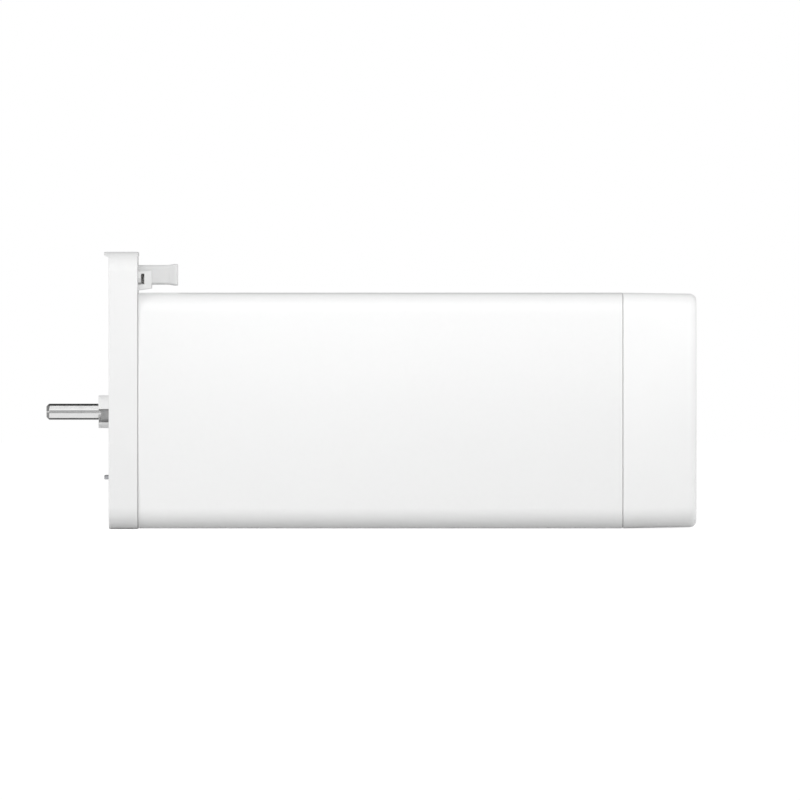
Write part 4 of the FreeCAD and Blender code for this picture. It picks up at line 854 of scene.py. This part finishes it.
def build_panel(bm):
    def data_opening(grow):
        half_width = data_case_half_width + opening_gap + grow
        reach = data_case_half_height + opening_gap + grow
        return rounded(half_width, data_z - reach, data_z + reach, 0.4 + grow, 3)

    outer = skin(bm, [
        at_x(x, rounded(19.0, body_centre_z - panel_half_height, body_centre_z + panel_half_height, 4.0, 6))
        for x in (panel_x, panel_x - panel_depth)])
    openings = [pit(bm, outline_of, panel_x, -panel_depth, 0.12) for outline_of in (
        lambda grow: inlet_outline(inlet_wall + opening_gap + grow),
        data_opening,
        lambda grow: circle(button_radius + 0.1 + grow, button_y, button_z, 40),
        lambda grow: circle(light_radius + opening_gap + grow, light_y, button_z, 24))]
    fill(bm, outer[0], *(rim for rim, _ in openings))
    fill(bm, outer[1], *(back for _, back in openings))
    for place in stake_places:
        bar(bm, lambda inset: circle(stake_radius - inset, *place, 28),
            [(port_board_x, 0.1), (port_board_x + 0.1, 0.0), (panel_x - panel_depth, 0.0)])


def socket_shell(bm, hole_outline, case_outline, rim):
    """A socket's housing: rounded mouth, deep cavity and a closed back."""
    front = panel_x - 0.12
    mouth, _ = pit(bm, hole_outline, front, -socket_depth, rim, True)
    loops = skin(bm, stations(case_outline, [
        (front, 0.15), (front - 0.05, 0.06), (front - 0.15, 0.0), (port_board_x, 0.0)]))
    fill(bm, loops[0], mouth)
    fill(bm, loops[-1])


def build_inlet(bm):
    socket_shell(bm, inlet_outline, lambda inset: inlet_outline(inlet_wall - inset), 0.45)
    rib = [(panel_x - 10.9, inlet_z - 4.45), (panel_x - 1.2, inlet_z - 4.45),
           (panel_x - 1.6, inlet_z - 3.6), (panel_x - 10.9, inlet_z - 3.6)]
    extrude_profile(bm, rib, -0.8, 0.8, 0.15)


def build_inlet_pins(bm):
    for y in (-inlet_pin_y, inlet_pin_y):
        bar(bm, lambda inset: circle(inlet_pin_radius - inset, y, inlet_z, 32),
            [(port_board_x, 0.0), (215.6, 0.0), (215.95, 0.12), (216.2, 0.42), (216.3, 0.85)])


def build_data(bm):
    socket_shell(bm, data_hole_outline, data_case_outline, 0.2)
    for number in range(-4, 5):
        y = number * contact_pitch
        box_solid(bm, 207.4, 211.5, y - 0.14, y + 0.14, data_z - 4.08, data_z - 2.6, 0.05, 1)


def build_contacts(bm):
    """Sprung contact wires in the data socket, bent back into its mouth."""
    profile = [(207.5, data_z - 3.0), (215.4, data_z - 3.95), (215.9, data_z - 3.7),
               (215.6, data_z - 3.45), (208.0, data_z - 0.6), (207.6, data_z - 0.75)]
    for number in range(8):
        y = (number - 3.5) * contact_pitch
        extrude_profile(bm, profile, y - 0.17, y + 0.17, 0.05, 1)


def build_button(bm):
    """Dished cap, retaining flange and stem."""
    dish = [(219.0 - 0.28 * (1 - (radius / 2.7) ** 2), radius) for radius in (0.4, 0.9, 1.4, 1.9, 2.3, 2.6)]
    rim = [(219.1, 2.78), (219.18, 2.92), (219.2, 3.02), (219.15, 3.15), (219.03, 3.22)]
    back = [(218.85, button_radius), (216.0, button_radius), (216.0, 4.4), (214.9, 4.4), (214.9, 1.5),
            (209.5, 1.5)]
    bar(bm, lambda radius: circle(radius, button_y, button_z), dish + rim + back)


def build_light(bm):
    """A light pipe with a domed end."""
    dome = [(218.6 - 0.3 * (radius / light_radius) ** 2, radius)
            for radius in (0.2, 0.6, 0.95, 1.2, 1.38, 1.48)]
    bar(bm, lambda radius: circle(radius, light_y, button_z, 32),
        dome + [(218.2, light_radius), (208.0, light_radius)])


piece("panel", build_panel, "grey_plastic", replaces=["socket_plate"])
piece("inlet", build_inlet, "black_plastic", replaces=["power_inlet"])
piece("inlet_contacts", build_inlet_pins, "contact_brass", replaces=["inlet_pins"])
piece("data_port", build_data, "black_plastic", replaces=["data_socket"])
piece("data_contacts", build_contacts, "contact_brass")
piece("button", build_button, "white_plastic", "program_button", ["program_button"])
piece("light_pipe", build_light, "clear_plastic", replaces=["status_light_pipe"])


# Latch

hub_front = -2.8
hub_rear = 6.6
arm_inner = 4.9
arm_outer = 6.15


def build_web(bm):
    """Web in the upper part of the front cheek's notch, with a face that slopes back into it."""
    top = pocket_bottom + 4.55
    low = pocket_bottom + 2.9
    bar(bm, lambda _: [(-8.7, top), (-7.45, top), (-7.45, low), (-7.9, low)], [(10.85, 0.0), (12.05, 0.0)])


def build_lever_block(bm):
    """Outer form: soft edges and a flared finger end."""
    def section(x, inset=0.0, spread=0.0):
        return at_x(x, rounded(lever_half_width + 0.45 * spread - inset, lever_bottom - 0.4 * spread + inset,
                               lever_top + 0.4 * spread - inset, 1.1 - 0.5 * inset, 6))

    flare_x = 22.2
    flare_length = 2.6
    end_round = 0.4
    sections = [section(10.4, 0.3), section(10.46, 0.13), section(10.6, 0.03), section(10.8)]
    for part in (step / 8 for step in range(9)):
        sections.append(section(flare_x + flare_length * part, 0.0, part * part * (3 - 2 * part)))
    for along, inset in rounding(end_round, 5):
        sections.append(section(lever_end - end_round + along, inset, 1.0))
    capped(bm, sections)


def cross_bar(bm, radius, y0, y1):
    """A round bar along Y at the latch's pivot."""
    profile = [(latch_pivot_x + x, latch_pivot_z + z) for x, z in circle(radius, count=40)]
    extrude_profile(bm, profile, y0, y1)


def build_lever_nose(bm):
    extrude_profile(bm, [(2.6, 52.7), (3.8, 51.3), (5.0, 51.3), (5.0, 52.7), (11.6, 52.7), (11.6, 54.8),
                         (10.8, 54.8), (10.8, 53.85), (2.6, 53.85)], -5.0, 5.0)


def lever_wall(x0, x1, z0, side):
    low, high = sorted((side * arm_inner, side * arm_outer))
    return lambda bm: box_solid(bm, x0, x1, low, high, z0, 53.8)


lever_changes = [
    ("DIFFERENCE", lambda bm: box_solid(bm, 9.0, lever_end - 1.8, -6.0, 6.0, 46.0, lever_top - 1.2)),
    ("DIFFERENCE", lambda bm: box_solid(bm, 9.0, 16.0, -9.0, hub_front, 46.0, 52.2)),
    ("UNION", lambda bm: cross_bar(bm, 2.3, hub_front, hub_rear)),
    ("UNION", lambda bm: box_solid(bm, latch_pivot_x - 1.2, latch_pivot_x + 1.2,
                                   hub_front, hub_rear, 50.4, 54.4)),
    ("UNION", build_lever_nose),
]
for side in (-1, 1):
    lever_changes.append(("UNION", lever_wall(6.5, 8.9, 47.1, side)))
    lever_changes.append(("UNION", lever_wall(8.8, 11.5, 51.3, side)))
lever_changes.append(("DIFFERENCE", lambda bm: cross_bar(bm, 1.1, -5.0, 9.0)))
# The lever's plastic is greyer than the white parts: its own tone, with painted shade from the head plate
# beside it.
piece("lever", carved(build_lever_block, lever_changes), "white_plastic", "latch_lever", ["latch_lever"],
      bevel_mm=0.12, look="lever_plastic")
piece("bracket_web", build_web, "white_plastic", bevel_mm=0.06)


# Latch spring: one round wire, its low leg on the bridge and its high leg under the lever

wire_radius = 0.35
wire_sides = 12
coil_radius = 1.7
coil_pitch = 1.3
coil_start_y = -6.6
coil_steps = 96
low_leg = (1.4, -2.8)
high_leg = (5.1, 3.5)


def leg_angle(leg, sense):
    """Angle on the coil where a straight leg to the given point leaves it."""
    return math.atan2(leg[1], leg[0]) + sense * math.acos(coil_radius / math.hypot(*leg))


def build_wire(bm, points):
    """A round wire along a path, closed at both ends."""
    rings = []
    across = (points[1] - points[0]).orthogonal()
    for index, point in enumerate(points):
        before = points[max(index - 1, 0)]
        after = points[min(index + 1, len(points) - 1)]
        along = (after - before).normalized()
        across = (across - along * across.dot(along)).normalized()
        other = along.cross(across)
        rings.append([point + y * across + z * other for y, z in circle(wire_radius, count=wire_sides)])
    capped(bm, rings)


def build_spring(bm):
    first = leg_angle(low_leg, -1)
    last = leg_angle(high_leg, 1) - 6 * math.pi

    def coil_point(angle):
        return Vector((latch_pivot_x + coil_radius * math.cos(angle),
                       coil_start_y + coil_pitch * (first - angle) / (2 * math.pi),
                       latch_pivot_z + coil_radius * math.sin(angle)))

    def leg_point(leg, angle):
        return Vector((latch_pivot_x + leg[0], coil_point(angle).y, latch_pivot_z + leg[1]))

    coil = [coil_point(first + (last - first) * step / coil_steps) for step in range(coil_steps + 1)]
    start = leg_point(low_leg, first)
    finish = leg_point(high_leg, last)
    low = [start.lerp(coil[0], part / 5) for part in range(5)]
    high = [coil[-1].lerp(finish, part / 12) for part in range(1, 13)]
    build_wire(bm, low + coil + high)


spring = piece("spring", build_spring, "spring_steel", None, ["latch_spring"])
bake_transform(spring)


# Camera: far away with a long lens, level, square to the broad side. Columns and rows are pixels of
# the photograph.

pixel = 0.375 * mm
middle_column = 400.0
middle_row = 400.0
plate_front_column = 108.6
shaft_axis_row = 411.7
camera_distance = 10.0
picture_centre = Vector(((middle_column - plate_front_column) * pixel, -body_width / 2 * mm,
                         (shaft_axis_row - middle_row) * pixel))
camera_data = bpy.data.cameras.new("camera")
camera_data.sensor_width = 36.0
camera_data.lens = 1200.0
camera_data.clip_end = 100.0
camera = bpy.data.objects.new("camera", camera_data)
camera.location = picture_centre - Vector((0.0, camera_distance, 0.0))
camera.rotation_euler = (math.pi / 2, 0.0, 0.0)
scene.collection.objects.link(camera)
scene.camera = camera


# Floor, sky and cards, in metres

def flat_card(name, xs, ys, zs, material):
    """A sheet between two opposite corners. It stands upright where its two x or its two y are the same."""
    (x0, x1), (y0, y1), (z0, z1) = xs, ys, zs
    upright = x0 == x1
    corners = [(x0, y0, z0), (x1, y1 if upright else y0, z0), (x1, y1, z1), (x0, y0 if upright else y1, z1)]
    mesh = bpy.data.meshes.new(name)
    mesh.from_pydata(corners, [], [(0, 1, 2, 3)])
    mesh.materials.append(material)
    obj = bpy.data.objects.new(name, mesh)
    scene.collection.objects.link(obj)
    return obj


# Diffuse paper that shows a little brighter to the camera, in mirrors and through glass
paper = Surface("floor_paper", (0.62, 0.62, 0.62), 1.0)
paper.set(Specular_IOR_Level=0.0, Emission_Color=(1.0, 1.0, 1.0, 1.0))
rays = paper.add("LightPath", {})
seen = paper.combine("MAXIMUM", rays["Is Camera Ray"], rays["Is Glossy Ray"])
seen = paper.combine("MAXIMUM", seen, rays["Is Transmission Ray"])
paper.links.new(paper.combine("MULTIPLY", seen, 0.69), paper.shader.inputs["Emission Strength"])
floor_z = plate_bottom * mm
flat_card("floor", (-20, 20), (-20, 20), (floor_z, floor_z), paper.material)

# A white sky that lights matt surfaces less than it shows to the camera and in mirrors
world = bpy.data.worlds.new("studio")
scene.world = world
world.use_nodes = True
world_nodes = world.node_tree.nodes
world_links = world.node_tree.links
background = world_nodes["Background"]
background.inputs["Color"].default_value = (1.0, 1.0, 1.0, 1.0)
world_rays = world_nodes.new("ShaderNodeLightPath")
world_strength = world_nodes.new("ShaderNodeMapRange")
world_strength.inputs["To Min"].default_value = 1.0
world_strength.inputs["To Max"].default_value = 0.55
world_links.new(world_rays.outputs["Is Diffuse Ray"], world_strength.inputs["Value"])
world_links.new(world_strength.outputs["Result"], background.inputs["Strength"])


def card_material(name, level):
    material = bpy.data.materials.new(name)
    material.use_nodes = True
    nodes = material.node_tree.nodes
    nodes.remove(nodes["Principled BSDF"])
    glow = nodes.new("ShaderNodeEmission")
    glow.inputs["Color"].default_value = (level, level, level, 1.0)
    material.node_tree.links.new(glow.outputs["Emission"], nodes["Material Output"].inputs["Surface"])
    return material


# Cards that only mirrors see. They give the bright metal its dark edges. The low ones lie just above
# the floor. Each row has a name, the card's extent in x, y and z, and its level.
near_floor = -0.0438
for name, xs, ys, zs, level in (
        ("card_above", (-0.6, 0.8), (-0.26, 0.6), (0.5, 0.45), 0.04),
        ("card_behind", (-0.6, 0.8), (0.6, 0.6), (0.0, 0.45), 0.05),
        ("card_front", (-0.6, 0.8), (-1.6, -1.6), (-0.04, 1.2), 0.4),
        ("card_left", (-0.6, -0.6), (-1.0, 0.6), (0.1, 0.5), 0.25),
        ("card_left_middle", (-0.6, -0.6), (-1.0, 0.6), (-0.04, 0.1), 0.55),
        ("card_left_low", (-0.3, -0.05), (-0.3, 0.6), (near_floor, near_floor), 0.3),
        ("card_near", (-0.05, 0.0), (-1.6, -0.056), (-0.0436, -0.0436), 0.4),
        ("card_under", (-0.05, 0.0), (-0.056, -0.012), (near_floor, near_floor), 0.85),
        ("card_below", (-0.05, 0.0), (-0.012, 0.6), (near_floor, near_floor), 0.1)):
    card = flat_card(name, xs, ys, zs, card_material(name, level))
    card.visible_camera = False
    card.visible_diffuse = False
    card.visible_shadow = False
    card.visible_transmission = False

# Soft lamps that mirrors don't see: name, place, aim, width, height and watts
for name, place, aim, width, height, watts in (
        ("key", (0.12, -0.45, 0.27), (0.12, 0.0, 0.03), 1.8, 0.2, 1.6),
        ("key_near", (0.2, -0.092, 0.055), (0.2, -0.025, 0.02), 0.38, 0.02, 0.035),
        ("fill", (-0.35, -0.3, 0.1), (-0.01, 0.0, 0.0), 0.2, 0.2, 0.55),
        ("fill_right", (0.75, -0.12, 0.1), (0.2, 0.0, 0.0), 0.3, 0.3, 0.45)):
    light = bpy.data.lights.new(name, "AREA")
    light.shape = "RECTANGLE"
    light.size = width
    light.size_y = height
    light.energy = watts
    lamp = bpy.data.objects.new(name, light)
    lamp.location = place
    lamp.rotation_euler = (Vector(aim) - Vector(place)).to_track_quat("-Z", "Y").to_euler()
    lamp.visible_camera = False
    lamp.visible_glossy = False
    scene.collection.objects.link(lamp)


# CAD nodes get their finish, and those that still show get softened edges. On two of them the edges
# lie too close together for that.

edge_width = {"armature_core": 0.04, "armature_windings": 0.0, "chassis": 0.0}
slot_of_node = {row["node"]: row["material_slot"] for row in frame["record"]["subparts"]}
for name, node in frame["nodes"].items():
    # The latch bracket takes the plastic painted lighter, standing in for the light that the head plate
    # keeps off it.
    look = "collar_plastic" if name == "latch_bracket" else slot_of_node[name]
    node.data.materials.clear()
    node.data.materials.append(surfaces[look].material)
    if node.hide_render:
        continue
    weld = node.modifiers.new("join", "WELD")
    weld.merge_threshold = 1e-6
    flatten = node.modifiers.new("faces", "DECIMATE")
    flatten.decimate_type = "DISSOLVE"
    flatten.angle_limit = math.radians(0.6)
    width = edge_width.get(name, 0.08)
    if width:
        add_bevel(node, width)
